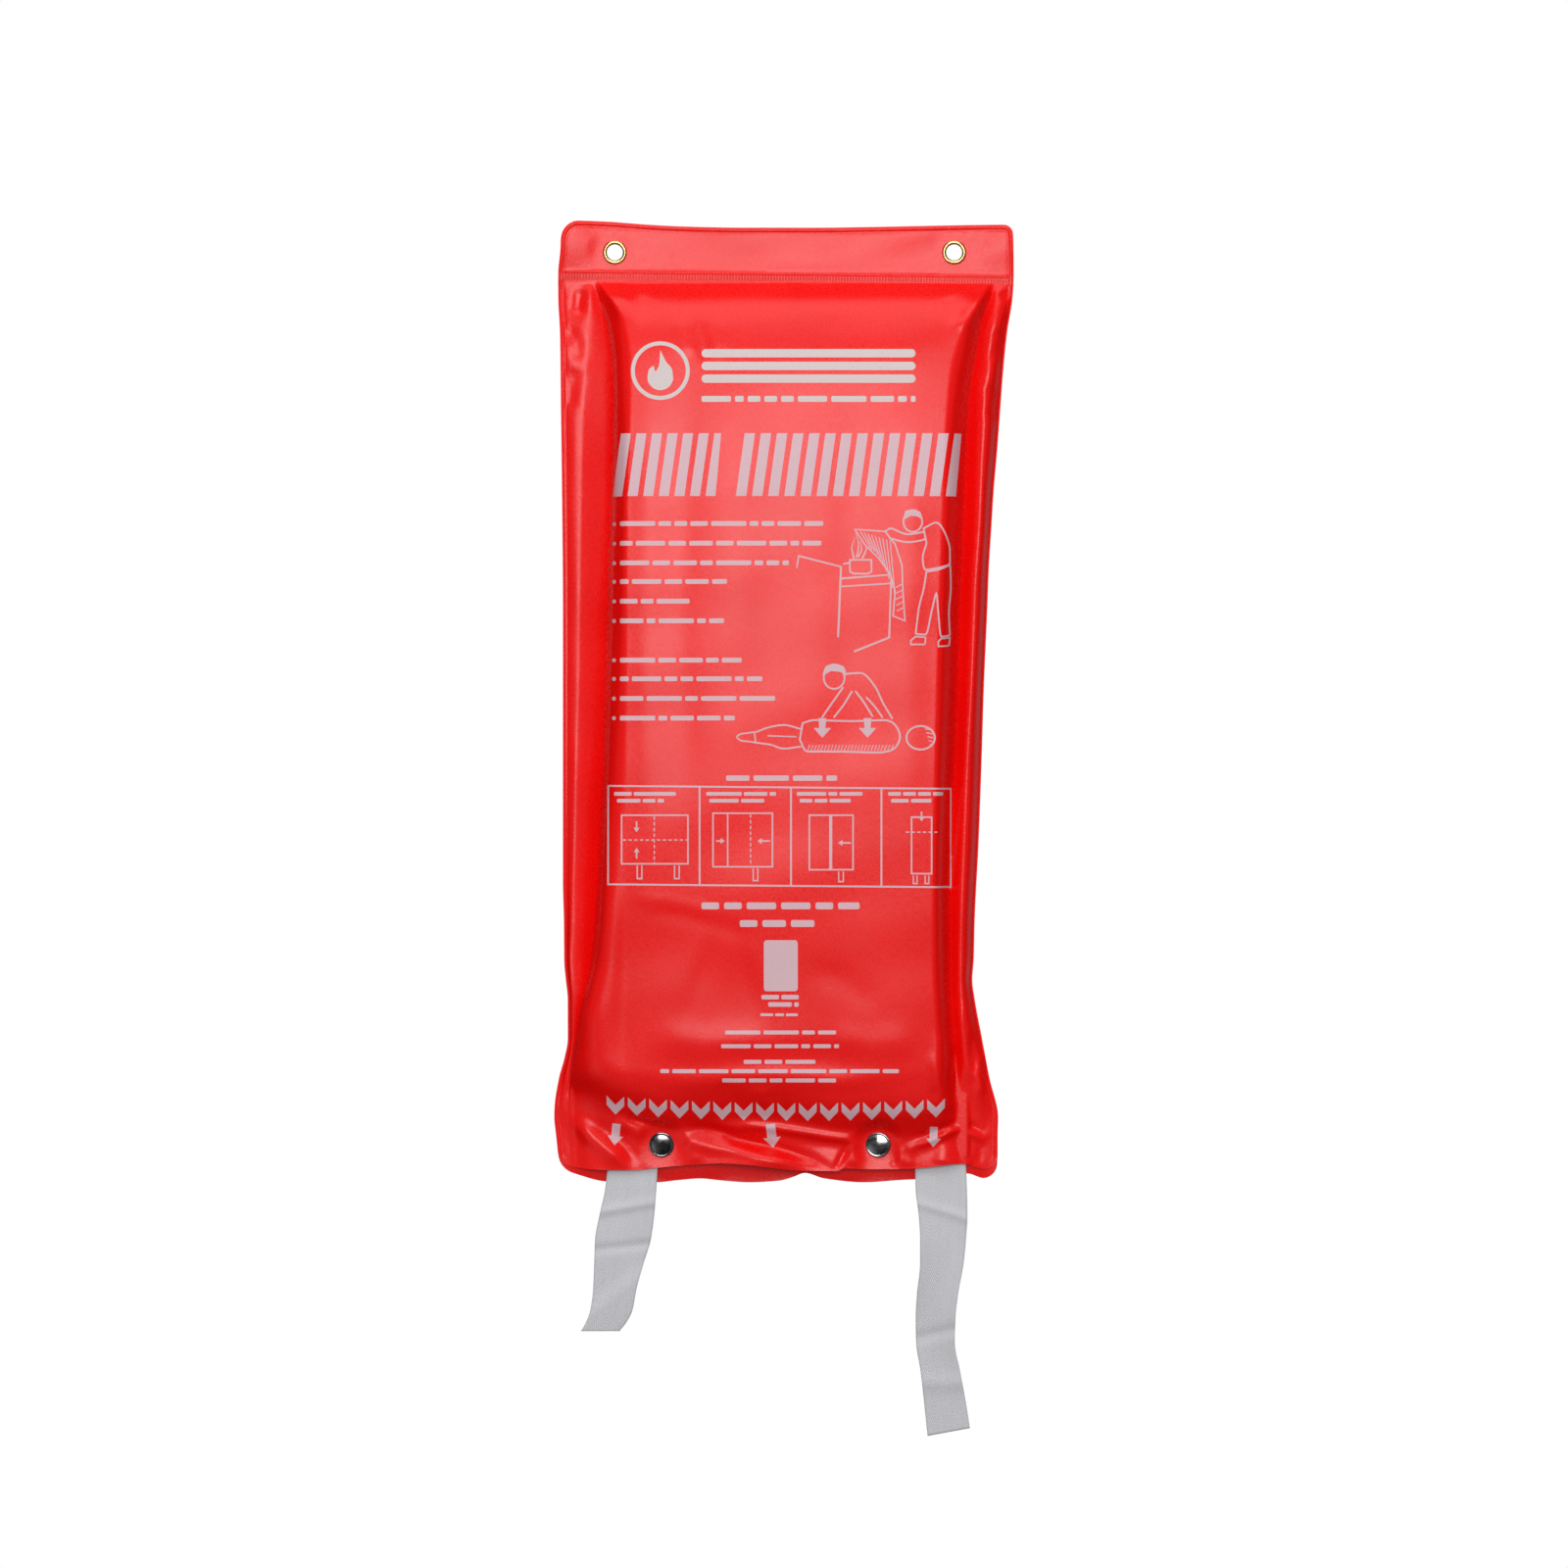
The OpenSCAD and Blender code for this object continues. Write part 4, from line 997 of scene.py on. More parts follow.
def depth_right(B, u, X):
    d = d_tape + 1.2 * (1 - smooth((B - 1060) / 60)) * 0.5
    s = (B - 1193)
    on = smooth(s / 14)
    tw = (u - 0.5) * 2
    d = d + on * (1.0 * np.sin(np.clip(s, 0, 300) / 60.0) + 2.6 * tw * np.exp(-(((B - 1345) / 42) ** 2)) - 0.9 * tw * np.exp(-(((B - 1255) / 40) ** 2)))
    d = d + on * 1.0 * np.exp(-(((B - 1236 - 8 * tw) / 5) ** 2)) - on * 1.0 * np.exp(-(((B - 1362 + 5 * tw) / 6) ** 2))
    d = d + on * 0.8 * np.exp(-(((B - 1412) / 8) ** 2))
    return np.maximum(d, 0.9)


ROWS_L = [(1190, 620, 671), (1215, 617, 669.5), (1240, 611.5, 667.5), (1265, 607, 664), (1290, 606, 656.5), (1315, 605, 649.5), (1338, 602, 645), (1350, 597.5, 639), (1359, 592.5, 632)]
ROWS_R = [(1190, 934, 986), (1215, 934.5, 987), (1240, 937.5, 987.5), (1265, 939, 986), (1290, 939, 983.5), (1320, 936, 978), (1345, 934.6, 975.2), (1370, 935, 974.5), (1400, 939.5, 980), (1430, 943, 985.5), (1462.5, 946.8, 990, -8.0)]
tl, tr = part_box("tape_root_left"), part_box("tape_root_right")
tape_l = tape("pull_tape_left", ROWS_L, float(tl[1].z) * 1000, (tl[0].x + tl[1].x) * 500, (tl[1].x - tl[0].x) * 1000, depth_left)
tape_r = tape("pull_tape_right", ROWS_R, float(tr[1].z) * 1000, (tr[0].x + tr[1].x) * 500, (tr[1].x - tr[0].x) * 1000, depth_right)


# ------------------------------------------------------------------ lathed fittings
def lathe(name, node, prof, n=64, tilt=(0.0, 0.0)):
    """Turns [radius, depth] points about the axis of a CAD node that is square to the wall."""
    c = centre(node)
    t = np.linspace(0, 2 * math.pi, n, endpoint=False)
    prof = np.array(prof, float)
    P = np.zeros((len(prof), n, 3))
    for i, (r, d) in enumerate(prof):
        P[i, :, 0] = c.x + r * np.cos(t)
        P[i, :, 2] = c.z + r * np.sin(t)
        P[i, :, 1] = -d - tilt[0] * r * np.cos(t) - tilt[1] * r * np.sin(t)
    ob = grid_object(name, P, closed_u=True)
    return ob


def arc(cx, cy, r, t0, t1, n):
    return [(cx + r * math.cos(math.radians(t)), cy + r * math.sin(math.radians(t))) for t in np.linspace(t0, t1, n)]


def cap_profile(f, R):
    """A stamped cap: turned-under rim, a step, then a shallow dome."""
    p = [(0.02, f - 1.0), (1.5, f - 1.0), (1.5, f), (R - 0.9, f)] + arc(R - 0.55, f + 0.55, 0.55, -90, 100, 10)
    p += [(R - 0.95, f + 1.04)]
    dome = [((R - 1.15) * (1 - k / 14) + 0.001, f + 1.0 + 0.60 * (1 - (1 - k / 14) ** 2)) for k in range(0, 15)]
    return p + dome


caps = [lathe("stud_cap_visual_left", "stud_cap_left", cap_profile(5.6, 6.3), tilt=(0.02, 0.10)),
        lathe("stud_cap_visual_right", "stud_cap_right", cap_profile(5.6, 6.3), tilt=(0.11, 0.02))]


def eyelet_profile(f):
    """Rolled flange in front, plain bore, curled rim behind."""
    p = [(4.0, 0.4), (4.0, f + 0.1)] + arc(5.05, f + 0.1, 1.05, 180, 0, 18) + [(6.1, f - 0.02), (5.85, f - 0.08), (4.5, f - 0.08)]
    p += [(4.5, 0.3), (5.2, 0.25), (5.35, 0.12), (5.2, 0.02), (4.4, 0.02)] + arc(4.4, 0.4, 0.4, 270, 180, 5)
    return p


eyelets = []
for side, node in (("left", "eyelet_left"), ("right", "eyelet_right")):
    prof = eyelet_profile(1.8)
    c = centre(node)
    t = np.linspace(0, 2 * math.pi, 72, endpoint=False)
    P = np.zeros((len(prof), 72, 3))
    for i, (r, d) in enumerate(prof):
        P[i, :, 0], P[i, :, 1], P[i, :, 2] = c.x + r * np.cos(t), -d, c.z + r * np.sin(t)
    eyelets.append(grid_object("eyelet_ring_" + side, P, closed_u=True, closed_v=True, cap=False))


# ------------------------------------------------------------------ folded blanket
def blanket():
    """A pack of folded glass cloth: soft outer ply, rounded folds down both sides with the plies showing, and a thin hemmed lower edge."""
    lo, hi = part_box("folded_blanket")
    x0, x1, z0, z1 = lo.x * 1000 + 7.5, hi.x * 1000 - 4.5, lo.z * 1000, hi.z * 1000
    rear, full = -hi.y * 1000, -lo.y * 1000
    T = full - rear
    prof = [(z1, 0.45), (z1 - 2, 0.55), (z1 - 6, 0.72), (z1 - 14, 0.88), (z1 - 28, 0.985), (-238, 1.0), (-278, 0.93), (-318, 0.78), (-342, 0.66), (-360, 0.53), (-378, 0.37), (-393, 0.23), (-397, 0.105), (z0 + 6, 0.098), (z0, 0.09)]
    prof = prof[::-1]
    rows = 230
    zz = np.linspace(z1, z0, rows)
    th = curve(zz, prof) * T
    n_side, n_face = 40, 90
    P = np.zeros((rows, 2 * (n_side + n_face), 3))
    for i, z in enumerate(zz):
        t = th[i]
        mid = rear + t / 2
        w = (x1 - x0) / 2
        c = (x1 + x0) / 2
        # superellipse section, front then right fold then rear then left fold
        ang = np.concatenate([np.linspace(-math.pi * 0.5 + 0.0, math.pi * 1.5, 2 * (n_side + n_face), endpoint=False)])
        ca, sa = np.cos(ang), np.sin(ang)
        # spread the samples so the flat faces and the folds both get enough
        e = 0.16
        X = c + w * np.sign(ca) * np.abs(ca) ** e
        Y = mid + (t / 2) * np.sign(sa) * np.abs(sa) ** 0.42
        P[i, :, 0], P[i, :, 1], P[i, :, 2] = X, Y, z
    X, D, Zc = P[:, :, 0], P[:, :, 1], P[:, :, 2]
    cx = (x0 + x1) / 2
    side = smooth((np.abs(X - cx) - (x1 - x0) / 2 + 7) / 7)
    rel = (D - rear) / np.maximum(th[:, None], 0.5)
    plies = np.maximum(2, np.round(th[:, None] / 2.4))
    groove = np.abs(np.sin(math.pi * rel * plies + 0.35 * np.sin(Zc * 0.05)))
    depth_in = 1.3 * (1 - groove ** 0.6) * side * smooth(th[:, None] / 5)
    X = X - np.sign(X - cx) * depth_in
    X = X - np.sign(X - cx) * side * (0.7 + 0.7 * np.sin(Zc * 0.031 + 3 * np.floor(rel * plies)))
    front_face = smooth((rel - 0.75) / 0.2) * (1 - side)
    soft = 0.35 * np.sin(X * 0.045 + 0.02 * Zc) + 0.3 * np.sin(Zc * 0.033 + 1.0) + 0.25 * np.sin(X * 0.11 - Zc * 0.04)
    fold = -1.2 * np.exp(-((X - (x0 + 64)) / 1.6) ** 2) - 0.8 * np.exp(-((Zc + 190 + 0.02 * X) / 2.2) ** 2)
    lim = smooth((th[:, None] - 3) / 8)
    D = D + front_face * lim * (soft - 0.9 + fold)
    # the pack is squeezed into the pouch: nowhere does it stand nearer the front sheet than about a millimetre
    room = front_depth(X, Zc) - 1.25
    floor_d = back_depth(X, Zc) + 0.5
    D = np.minimum(D, room - 0.25 * (1 - np.minimum(np.abs(np.sin(Zc * 0.07)), 1)))
    D = np.maximum(D, np.minimum(floor_d, room))
    P[:, :, 0], P[:, :, 1] = X, D
    P[:, :, 1] *= -1
    ob = grid_object("blanket_pack", P[:, ::-1], closed_u=True)
    return ob


pack = blanket()


# ------------------------------------------------------------------ materials
class Nodes:
    def __init__(self, name):
        self.m = bpy.data.materials.new(name)
        self.m.use_nodes = True
        self.t = self.m.node_tree
        self.b = self.t.nodes["Principled BSDF"]

    def new(self, kind, **kw):
        n = self.t.nodes.new(kind)
        for k, v in kw.items():
            setattr(n, k, v)
        return n

    def link(self, a, b):
        self.t.links.new(a, b)

    def math(self, op, a, b=None, c=None, clamp=False):
        n = self.new("ShaderNodeMath", operation=op)
        n.use_clamp = clamp
        for i, v in enumerate((a, b, c)):
            if v is None:
                continue
            if hasattr(v, "links"):
                self.link(v, n.inputs[i])
            else:
                n.inputs[i].default_value = v
        return n.outputs[0]

    def noise(self, vec, scale, detail=2.0, rough=0.5, dist=0.0):
        n = self.new("ShaderNodeTexNoise")
        n.inputs["Scale"].default_value = scale
        n.inputs["Detail"].default_value = detail
        n.inputs["Roughness"].default_value = rough
        n.inputs["Distortion"].default_value = dist
        self.link(vec, n.inputs["Vector"])
        return n.outputs["Fac"]

    def ramp(self, fac, stops):
        n = self.new("ShaderNodeValToRGB")
        e = n.color_ramp.elements
        while len(e) < len(stops):
            e.new(0.5)
        for el, (p, c) in zip(e, stops):
            el.position = p
            el.color = (*c, 1) if len(c) == 3 else c
        self.link(fac, n.inputs[0])
        return n.outputs[0]

    def remap(self, v, a, b, c, d):
        n = self.new("ShaderNodeMapRange")
        n.inputs["From Min"].default_value, n.inputs["From Max"].default_value = a, b
        n.inputs["To Min"].default_value, n.inputs["To Max"].default_value = c, d
        self.link(v, n.inputs["Value"])
        return n.outputs[0]

    def mix(self, fac, a, b):
        n = self.new("ShaderNodeMix", data_type="RGBA")
        ins = [s for s in n.inputs if s.type == "RGBA"]
        if hasattr(fac, "links"):
            self.link(fac, n.inputs[0])
        else:
            n.inputs[0].default_value = fac
        for s, v in zip(ins, (a, b)):
            if hasattr(v, "links"):
                self.link(v, s)
            else:
                s.default_value = (*v, 1)
        return [o for o in n.outputs if o.type == "RGBA"][0]

    def bump(self, height, strength, distance, normal=None):
        n = self.new("ShaderNodeBump")
        n.inputs["Strength"].default_value = strength
        n.inputs["Distance"].default_value = distance
        self.link(height, n.inputs["Height"])
        if normal is not None:
            self.link(normal, n.inputs["Normal"])
        return n.outputs[0]

    def obj(self):
        return self.new("ShaderNodeTexCoord").outputs["Object"]


def mat_pvc(name, ink_kind=0):
    """Coated red sheet with a fine leather-like grain; the printed areas are the same sheet under a matt ink."""
    N = Nodes(name)
    o = N.obj()
    grain = N.noise(o, 2300, 2.0, 0.6)
    mid = N.noise(o, 780, 3.0, 0.65)
    coarse = N.noise(o, 330, 2.0, 0.5)
    broad = N.noise(o, 26, 3.0, 0.5)
    red = N.mix(N.remap(broad, 0.3, 0.7, 0, 1), (0.90, 0.0014, 0.0007), (0.96, 0.0020, 0.0009))
    red = N.mix(N.remap(grain, 0.2, 0.8, 0, 0.25), red, (0.72, 0.0008, 0.0005))
    if ink_kind == 0:
        # painted light on the weld band: the tops of its teeth get a pale painted highlight and the gaps between them a
        # dark painted shade
        sep = N.new("ShaderNodeSeparateXYZ")
        N.link(o, sep.inputs[0])
        x, z = sep.outputs[0], sep.outputs[2]
        row = N.math("MULTIPLY_ADD", x, 0.0112, N.math("SUBTRACT", z, (float(gz(281 + 225 * 0.0112)) + 0.0112 * float(gx(800))) * MM))
        band = N.remap(N.math("ABSOLUTE", row), 0.0010, 0.0018, 1.0, 0.0)
        tooth = N.math("ABSOLUTE", N.math("COSINE", N.math("MULTIPLY", x, math.pi / 0.00147)))
        # painted highlight on the tops of the teeth
        pale = N.math("MULTIPLY", N.math("MULTIPLY", tooth, band), 0.34)
        # painted shade in the gaps between the teeth
        gap = N.math("MULTIPLY", N.math("MULTIPLY", N.math("SUBTRACT", 1.0, tooth), band), 0.60)
        # the pale pink is the painted highlight colour and the dark red the painted shade colour
        col = N.mix(gap, N.mix(pale, red, (1.0, 0.22, 0.19)), (0.56, 0.0012, 0.0010))
        rough = N.remap(mid, 0.3, 0.7, 0.25, 0.31)
    else:
        base = (0.70, 0.475, 0.52) if ink_kind == 1 else (0.66, 0.585, 0.57)
        speck = N.remap(N.noise(o, 1500, 2.0, 0.5), 0.60, 0.78, 0.0, 0.35)
        col = N.mix(speck, base, red)
        col = N.mix(N.remap(broad, 0.3, 0.7, 0.0, 0.10), col, (0.78, 0.40, 0.43))
        rough = N.remap(mid, 0.3, 0.7, 0.46, 0.55)
    N.link(col, N.b.inputs["Base Color"])
    N.link(rough, N.b.inputs["Roughness"])
    h = N.bump(grain, 0.14, 0.0002)
    h = N.bump(mid, 0.20, 0.0003, h)
    h = N.bump(coarse, 0.08, 0.0005, h)
    N.link(h, N.b.inputs["Normal"])
    N.b.inputs["IOR"].default_value = 1.47
    N.b.inputs["Specular IOR Level"].default_value = 0.45
    return N.m


def mat_metal(name, col, dark, rough, tarnish=0.5):
    N = Nodes(name)
    o = N.obj()
    n1 = N.noise(o, 420, 4.0, 0.65)
    n2 = N.noise(o, 2400, 2.0, 0.5)
    c = N.mix(N.remap(n1, 0.40, 0.78, 0.0, tarnish), col, dark)
    N.link(c, N.b.inputs["Base Color"])
    N.b.inputs["Metallic"].default_value = 1.0
    N.link(N.remap(n1, 0.3, 0.75, rough, rough + 0.14), N.b.inputs["Roughness"])
    N.link(N.bump(n2, 0.06, 0.00012), N.b.inputs["Normal"])
    return N.m


def mat_tape(name, pink_rows):
    """Herringbone tape: diagonal ribs that change direction in columns, woven from the tape's own width and length."""
    N = Nodes(name)
    uv = N.new("ShaderNodeUVMap", uv_map="tape").outputs[0]
    sep = N.new("ShaderNodeSeparateXYZ")
    N.link(uv, sep.inputs[0])
    u, v = sep.outputs[0], sep.outputs[1]
    col_w = 5.3
    tri = N.math("PINGPONG", u, col_w)                       # 0..col_w..0
    diag = N.math("ADD", N.math("MULTIPLY", tri, 1.5), v)
    rib = N.math("SINE", N.math("MULTIPLY", diag, 2 * math.pi / 1.75))
    rib01 = N.math("MULTIPLY_ADD", rib, 0.5, 0.5)
    warp = N.math("MULTIPLY_ADD", N.math("SINE", N.math("MULTIPLY", u, 2 * math.pi / 0.62)), 0.5, 0.5)
    weave = N.math("ADD", N.math("MULTIPLY", rib01, 0.75), N.math("MULTIPLY", warp, 0.25))
    seam = N.math("ABSOLUTE", N.math("SUBTRACT", N.math("PINGPONG", u, col_w), col_w / 2))
    seam = N.remap(seam, col_w / 2 - 0.28, col_w / 2, 0.0, 1.0)
    fuzz = N.noise(N.obj(), 1500, 3.0, 0.6)
    broad = N.noise(N.obj(), 45, 2.0, 0.5)
    c = N.mix(weave, (0.50, 0.50, 0.52), (0.70, 0.70, 0.73))
    c = N.mix(N.math("MULTIPLY", seam, 0.25), c, (0.46, 0.45, 0.47))
    c = N.mix(N.remap(fuzz, 0.35, 0.75, 0, 0.14), c, (0.76, 0.76, 0.79))
    c = N.mix(N.remap(broad, 0.4, 0.75, 0, 0.25), c, (0.52, 0.52, 0.55))
    for centre_v, half, amount in pink_rows:
        d = N.math("ABSOLUTE", N.math("SUBTRACT", N.math("ADD", v, N.math("MULTIPLY", u, -0.25)), centre_v))
        f = N.remap(d, 0.0, half, amount, 0.0)
        f = N.math("MULTIPLY", f, N.remap(broad, 0.3, 0.6, 0.5, 1.0))
        c = N.mix(f, c, (0.83, 0.50, 0.47))
    N.link(c, N.b.inputs["Base Color"])
    N.b.inputs["Roughness"].default_value = 0.86
    N.b.inputs["Sheen Weight"].default_value = 0.12
    N.b.inputs["Sheen Roughness"].default_value = 0.5
    h = N.bump(weave, 0.55, 0.00028)
    h = N.bump(fuzz, 0.25, 0.0002, h)
    N.link(h, N.b.inputs["Normal"])
    return N.m


def mat_cloth(name):
    """Plain-woven glass cloth, cream white with a faint sheen."""
    N = Nodes(name)
    o = N.obj()
    sep = N.new("ShaderNodeSeparateXYZ")
    N.link(o, sep.inputs[0])
    p = 2 * math.pi / 0.0013
    side = N.math("ADD", sep.outputs[0], sep.outputs[1])
    sx = N.math("SINE", N.math("MULTIPLY", side, p))
    sz = N.math("SINE", N.math("MULTIPLY", sep.outputs[2], p))
    chk = N.math("MULTIPLY_ADD", N.math("MULTIPLY", sx, sz), 0.5, 0.5)
    n = N.noise(o, 900, 3.0, 0.6)
    broad = N.noise(o, 18, 3.0, 0.5)
    c = N.mix(chk, (0.66, 0.62, 0.54), (0.84, 0.81, 0.74))
    c = N.mix(N.remap(broad, 0.35, 0.7, 0, 0.3), c, (0.80, 0.76, 0.67))
    N.link(c, N.b.inputs["Base Color"])
    N.b.inputs["Roughness"].default_value = 0.72
    N.b.inputs["Sheen Weight"].default_value = 0.3
    h = N.bump(chk, 0.5, 0.0003)
    h = N.bump(n, 0.25, 0.0002, h)
    N.link(h, N.b.inputs["Normal"])
    return N.m


def mat_thread(name):
    N = Nodes(name)
    o = N.obj()
    w = N.new("ShaderNodeTexWave")
    w.inputs["Scale"].default_value = 900
    w.inputs["Distortion"].default_value = 2.0
    N.link(o, w.inputs["Vector"])
    c = N.mix(w.outputs["Fac"], (0.70, 0.69, 0.65), (0.88, 0.87, 0.84))
    N.link(c, N.b.inputs["Base Color"])
    N.b.inputs["Roughness"].default_value = 0.8
    N.link(N.bump(w.outputs["Fac"], 0.4, 0.0002), N.b.inputs["Normal"])
    return N.m


pvc = mat_pvc("pvc_red")
ink_pink = mat_pvc("print_ink", 1)
ink_white = mat_pvc("badge_ink", 2)
brass = mat_metal("brass", (0.86, 0.62, 0.25), (0.30, 0.18, 0.06), 0.20, 0.35)
nickel = mat_metal("nickel", (0.46, 0.46, 0.47), (0.30, 0.295, 0.29), 0.11, 0.4)
steel = mat_metal("spring_steel", (0.50, 0.50, 0.51), (0.30, 0.29, 0.28), 0.30, 0.5)
cloth = mat_cloth("glass_cloth")
thread = mat_thread("thread")
tape_mat_l = mat_tape("tape_webbing_left", [(58.0, 6.0, 0.75), (68.0, 5.0, 0.25), (80.0, 5.0, 0.35)])
tape_mat_r = mat_tape("tape_webbing_right", [(54.0, 4.5, 0.45), (62.0, 6.0, 0.8), (72.0, 4.0, 0.25)])


def paint(ob, *mats):
    if len(ob.data.materials):
        ob.data.materials.clear()
    for m in mats:
        ob.data.materials.append(m)


paint(front, pvc, ink_pink, ink_white)
paint(back, pvc)
paint(tape_l, tape_mat_l)
paint(tape_r, tape_mat_r)
for o in caps:
    paint(o, nickel)
for o in eyelets:
    paint(o, brass)
paint(pack, cloth)
SLOT = {s["node"]: s.get("material_slot") for s in frame["record"]["subparts"]}
for n, ob in frame["nodes"].items():
    m = {"brass": brass, "nickel": nickel, "spring_steel": steel, "thread": thread, "glass_cloth": cloth, "tape_webbing": tape_mat_l, "pvc_red": pvc}[SLOT[n]]
    paint(ob, m)

# ------------------------------------------------------------------ how the pieces ride on the frame
J = {j["name"]: j for j in frame["joints"]}
hinge_z = J["lip_open"]["pos_m"][2]


def lip_share(x, z):
    """Weight for how far a point of the front sheet would turn with the lip: nothing at the side welds and above the
    bend, most in the middle of the mouth.
    """
    x, z = np.asarray(x, float), np.asarray(z, float)
    b = 256.5 - z / U
    a = 800.5 + x / U
    eL, eR = curve(b, EDGE_L), curve(b, EDGE_R)
    across = 0.42 - 0.13 * np.clip(np.abs(x + 4) / 90, 0, 1.2) ** 2
    across = across * smooth((a - eL - 2) / 42) * smooth((eR - 2 - a) / 36)
    down = smooth((hinge_z * 1000 + 45 - z) / 95)
    return across * down


def blend_with(ob, w):
    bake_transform(ob)


co = np.array([v.co for v in front.data.vertices]) * 1000
blend_with(front, lip_share(co[:, 0], co[:, 2]))
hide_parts("front_panel", "front_lip")
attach(back, "pouch")
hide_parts("back_panel")
for ob, side in zip(caps, ("left", "right")):
    c = centre("stud_cap_" + side)
    blend_with(ob, np.full(len(ob.data.vertices), float(lip_share(c.x, c.z))))
    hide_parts("stud_cap_" + side)


def copy_node(node, name):
    """A mesh of its own for the socket or spring, copied from the CAD node."""
    src = frame["nodes"][node]
    me = src.data.copy()
    me.name = name
    ob = bpy.data.objects.new(name, me)
    bpy.context.scene.collection.objects.link(ob)
    return ob


for side in ("left", "right"):
    c = centre("stud_cap_" + side)
    for part, m, slot in (("stud_socket_", nickel, "nickel"), ("stud_spring_", steel, "spring_steel")):
        ob = copy_node(part + side, part + side + "_visual")
        paint(ob, m)
        blend_with(ob, np.full(len(ob.data.vertices), float(lip_share(c.x, c.z))))
        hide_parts(part + side)
for ob, side in zip(eyelets, ("left", "right")):
    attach(ob, "pouch")
    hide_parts("eyelet_" + side)
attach(pack, "blanket")
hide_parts("folded_blanket")
for ob, side in ((tape_l, "left"), (tape_r, "right")):
    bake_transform(ob)
    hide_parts("tape_root_" + side, "tape_tail_" + side)

# ------------------------------------------------------------------ floor, light and camera
me = bpy.data.meshes.new("floor")
me.from_pydata([(-5, -5, -1.16), (5, -5, -1.16), (5, 5, -1.16), (-5, 5, -1.16)], [], [(0, 1, 2, 3)])
floor = bpy.data.objects.new("floor", me)
bpy.context.scene.collection.objects.link(floor)
pale = Nodes("pale_floor")
pale.b.inputs["Base Color"].default_value = (0.90, 0.90, 0.90, 1)
pale.b.inputs["Roughness"].default_value = 0.9
pale.b.inputs["Emission Color"].default_value = (1, 1, 1, 1)
pale.b.inputs["Emission Strength"].default_value = 0.30
paint(floor, pale.m)
floor.visible_glossy = False
floor.visible_diffuse = False

world = bpy.data.worlds.new("studio")
bpy.context.scene.world = world
world.use_nodes = True
nt = world.node_tree
nt.nodes.clear()
out = nt.nodes.new("ShaderNodeOutputWorld")
mixs = nt.nodes.new("ShaderNodeMixShader")
lp = nt.nodes.new("ShaderNodeLightPath")
bg1, bg2 = nt.nodes.new("ShaderNodeBackground"), nt.nodes.new("ShaderNodeBackground")
# The backdrop is white to the camera, dark to shiny surfaces so that only the lamps make highlights,
# and to matt surfaces a soft fill that comes mostly from the front and from above.
tc = nt.nodes.new("ShaderNodeTexCoord")
sp = nt.nodes.new("ShaderNodeSeparateXYZ")
nt.links.new(tc.outputs["Generated"], sp.inputs[0])


def wmath(op, a, b):
    n = nt.nodes.new("ShaderNodeMath")
    n.operation = op
    for i, v in enumerate((a, b)):
        if hasattr(v, "links"):
            nt.links.new(v, n.inputs[i])
        else:
            n.inputs[i].default_value = v
    return n.outputs[0]


front_part = wmath("POWER", wmath("MAXIMUM", wmath("MULTIPLY", sp.outputs[1], -1.0), 0.0), 2.0)
rear_part = wmath("POWER", wmath("MAXIMUM", sp.outputs[1], 0.0), 2.0)
up_part = wmath("MAXIMUM", sp.outputs[2], 0.0)
fill = wmath("ADD", wmath("ADD", wmath("MULTIPLY", front_part, 0.66), wmath("MULTIPLY", rear_part, 0.5)), wmath("ADD", wmath("MULTIPLY", up_part, 0.45), 0.05))
bg1.inputs[0].default_value = (1, 1, 1.01, 1)
nt.links.new(fill, bg1.inputs[1])
bg2.inputs[0].default_value, bg2.inputs[1].default_value = (1, 1, 1, 1), 1.0
bg3 = nt.nodes.new("ShaderNodeBackground")
bg3.inputs[0].default_value = (1, 1, 1, 1)


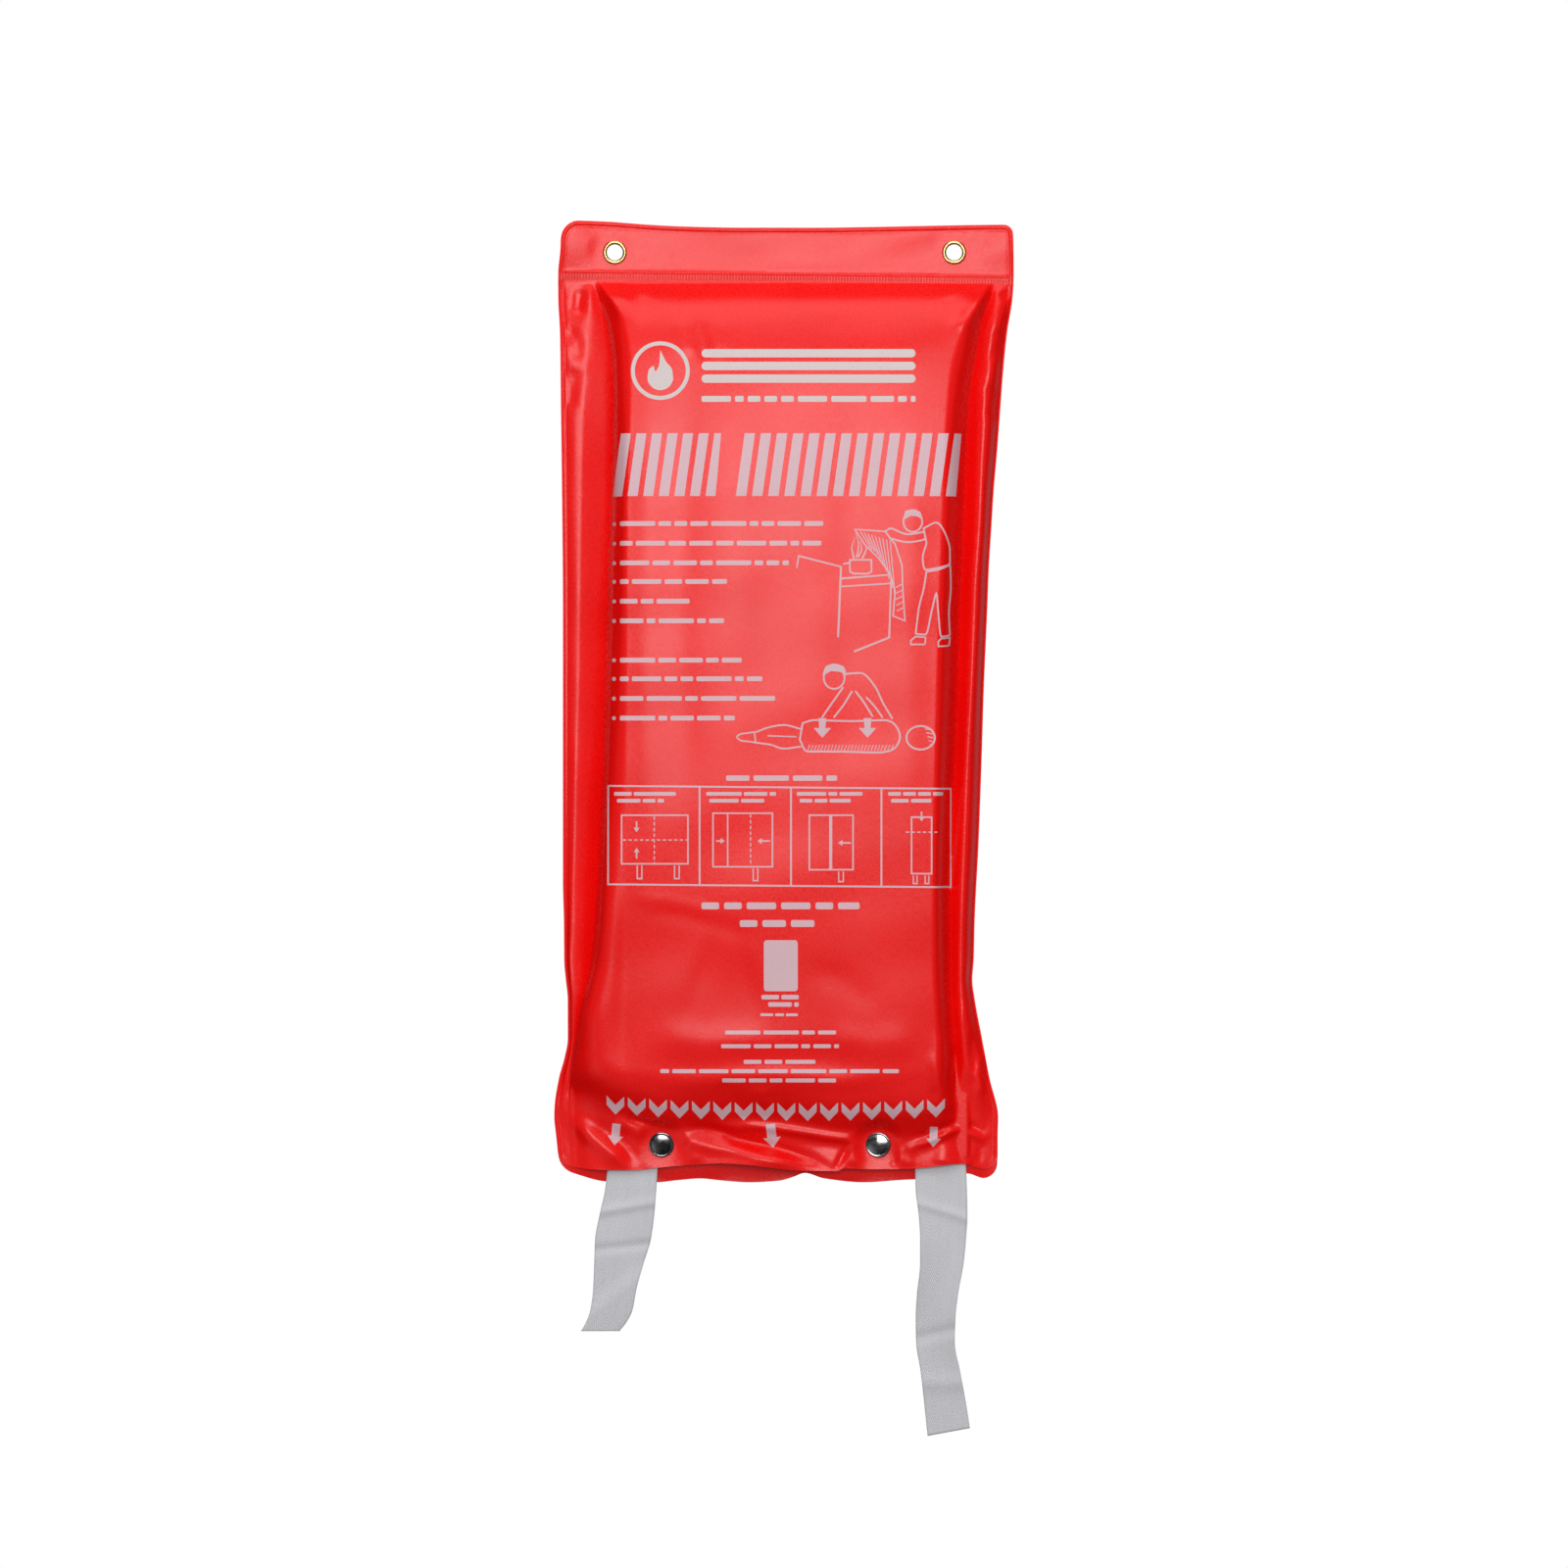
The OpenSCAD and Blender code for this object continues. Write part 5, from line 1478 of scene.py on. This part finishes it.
def lobe(d, power, strength):
    """A soft bright patch of the studio round the direction d."""
    d = Vector(d).normalized()
    dot = wmath("ADD", wmath("ADD", wmath("MULTIPLY", sp.outputs[0], d.x), wmath("MULTIPLY", sp.outputs[1], d.y)), wmath("MULTIPLY", sp.outputs[2], d.z))
    return wmath("MULTIPLY", wmath("POWER", wmath("MAXIMUM", dot, 0.0), power), strength)


sheen = wmath("ADD", wmath("ADD", lobe((-0.64, -0.64, -0.40), 22.0, 0.8), lobe((0.66, 0.66, -0.25), 22.0, 0.6)), 0.012)
nt.links.new(sheen, bg3.inputs[1])
mixg = nt.nodes.new("ShaderNodeMixShader")
nt.links.new(lp.outputs["Is Glossy Ray"], mixg.inputs[0])
nt.links.new(bg1.outputs[0], mixg.inputs[1])
nt.links.new(bg3.outputs[0], mixg.inputs[2])
nt.links.new(lp.outputs["Is Camera Ray"], mixs.inputs[0])
nt.links.new(mixg.outputs[0], mixs.inputs[1])
nt.links.new(bg2.outputs[0], mixs.inputs[2])
nt.links.new(mixs.outputs[0], out.inputs[0])


def area(name, loc, aim, size, power, col=(1, 1, 1)):
    l = bpy.data.lights.new(name, "AREA")
    l.shape, l.size, l.size_y, l.energy, l.color = "RECTANGLE", size[0], size[1], power, col
    o = bpy.data.objects.new(name, l)
    bpy.context.scene.collection.objects.link(o)
    o.location = loc
    o.rotation_euler = (Vector(aim) - Vector(loc)).to_track_quat("-Z", "Y").to_euler()
    o.visible_camera = False
    return o


mid = Vector((0, 0, -0.25))
area("key", (0.0, -2.6, 0.20), mid, (1.05, 0.9), 20.5)
area("top", (0.0, -1.15, 1.65), mid, (2.0, 1.7), 19)
area("left", (-2.0, -0.7, 0.0), mid, (0.6, 1.6), 0.5)
area("right", (2.0, -0.7, 0.0), mid, (0.6, 1.6), 0.5)
area("rear", (0.0, 2.4, 0.3), mid, (1.8, 1.6), 14)

cam_data = bpy.data.cameras.new("camera")
cam = bpy.data.objects.new("camera", cam_data)
bpy.context.scene.collection.objects.link(cam)
span, dist = 1600 * U * MM, 5.0
cam_data.sensor_width = 36.0
cam_data.lens = 36.0 * dist / span
cam.location = (float(gx(800)) * MM, -dist - 0.012, float(gz(800)) * MM)
cam.rotation_euler = (math.pi / 2, 0, 0)
cam_data.clip_end = 50
bpy.context.scene.camera = cam
bpy.context.scene.view_settings.view_transform = "Standard"
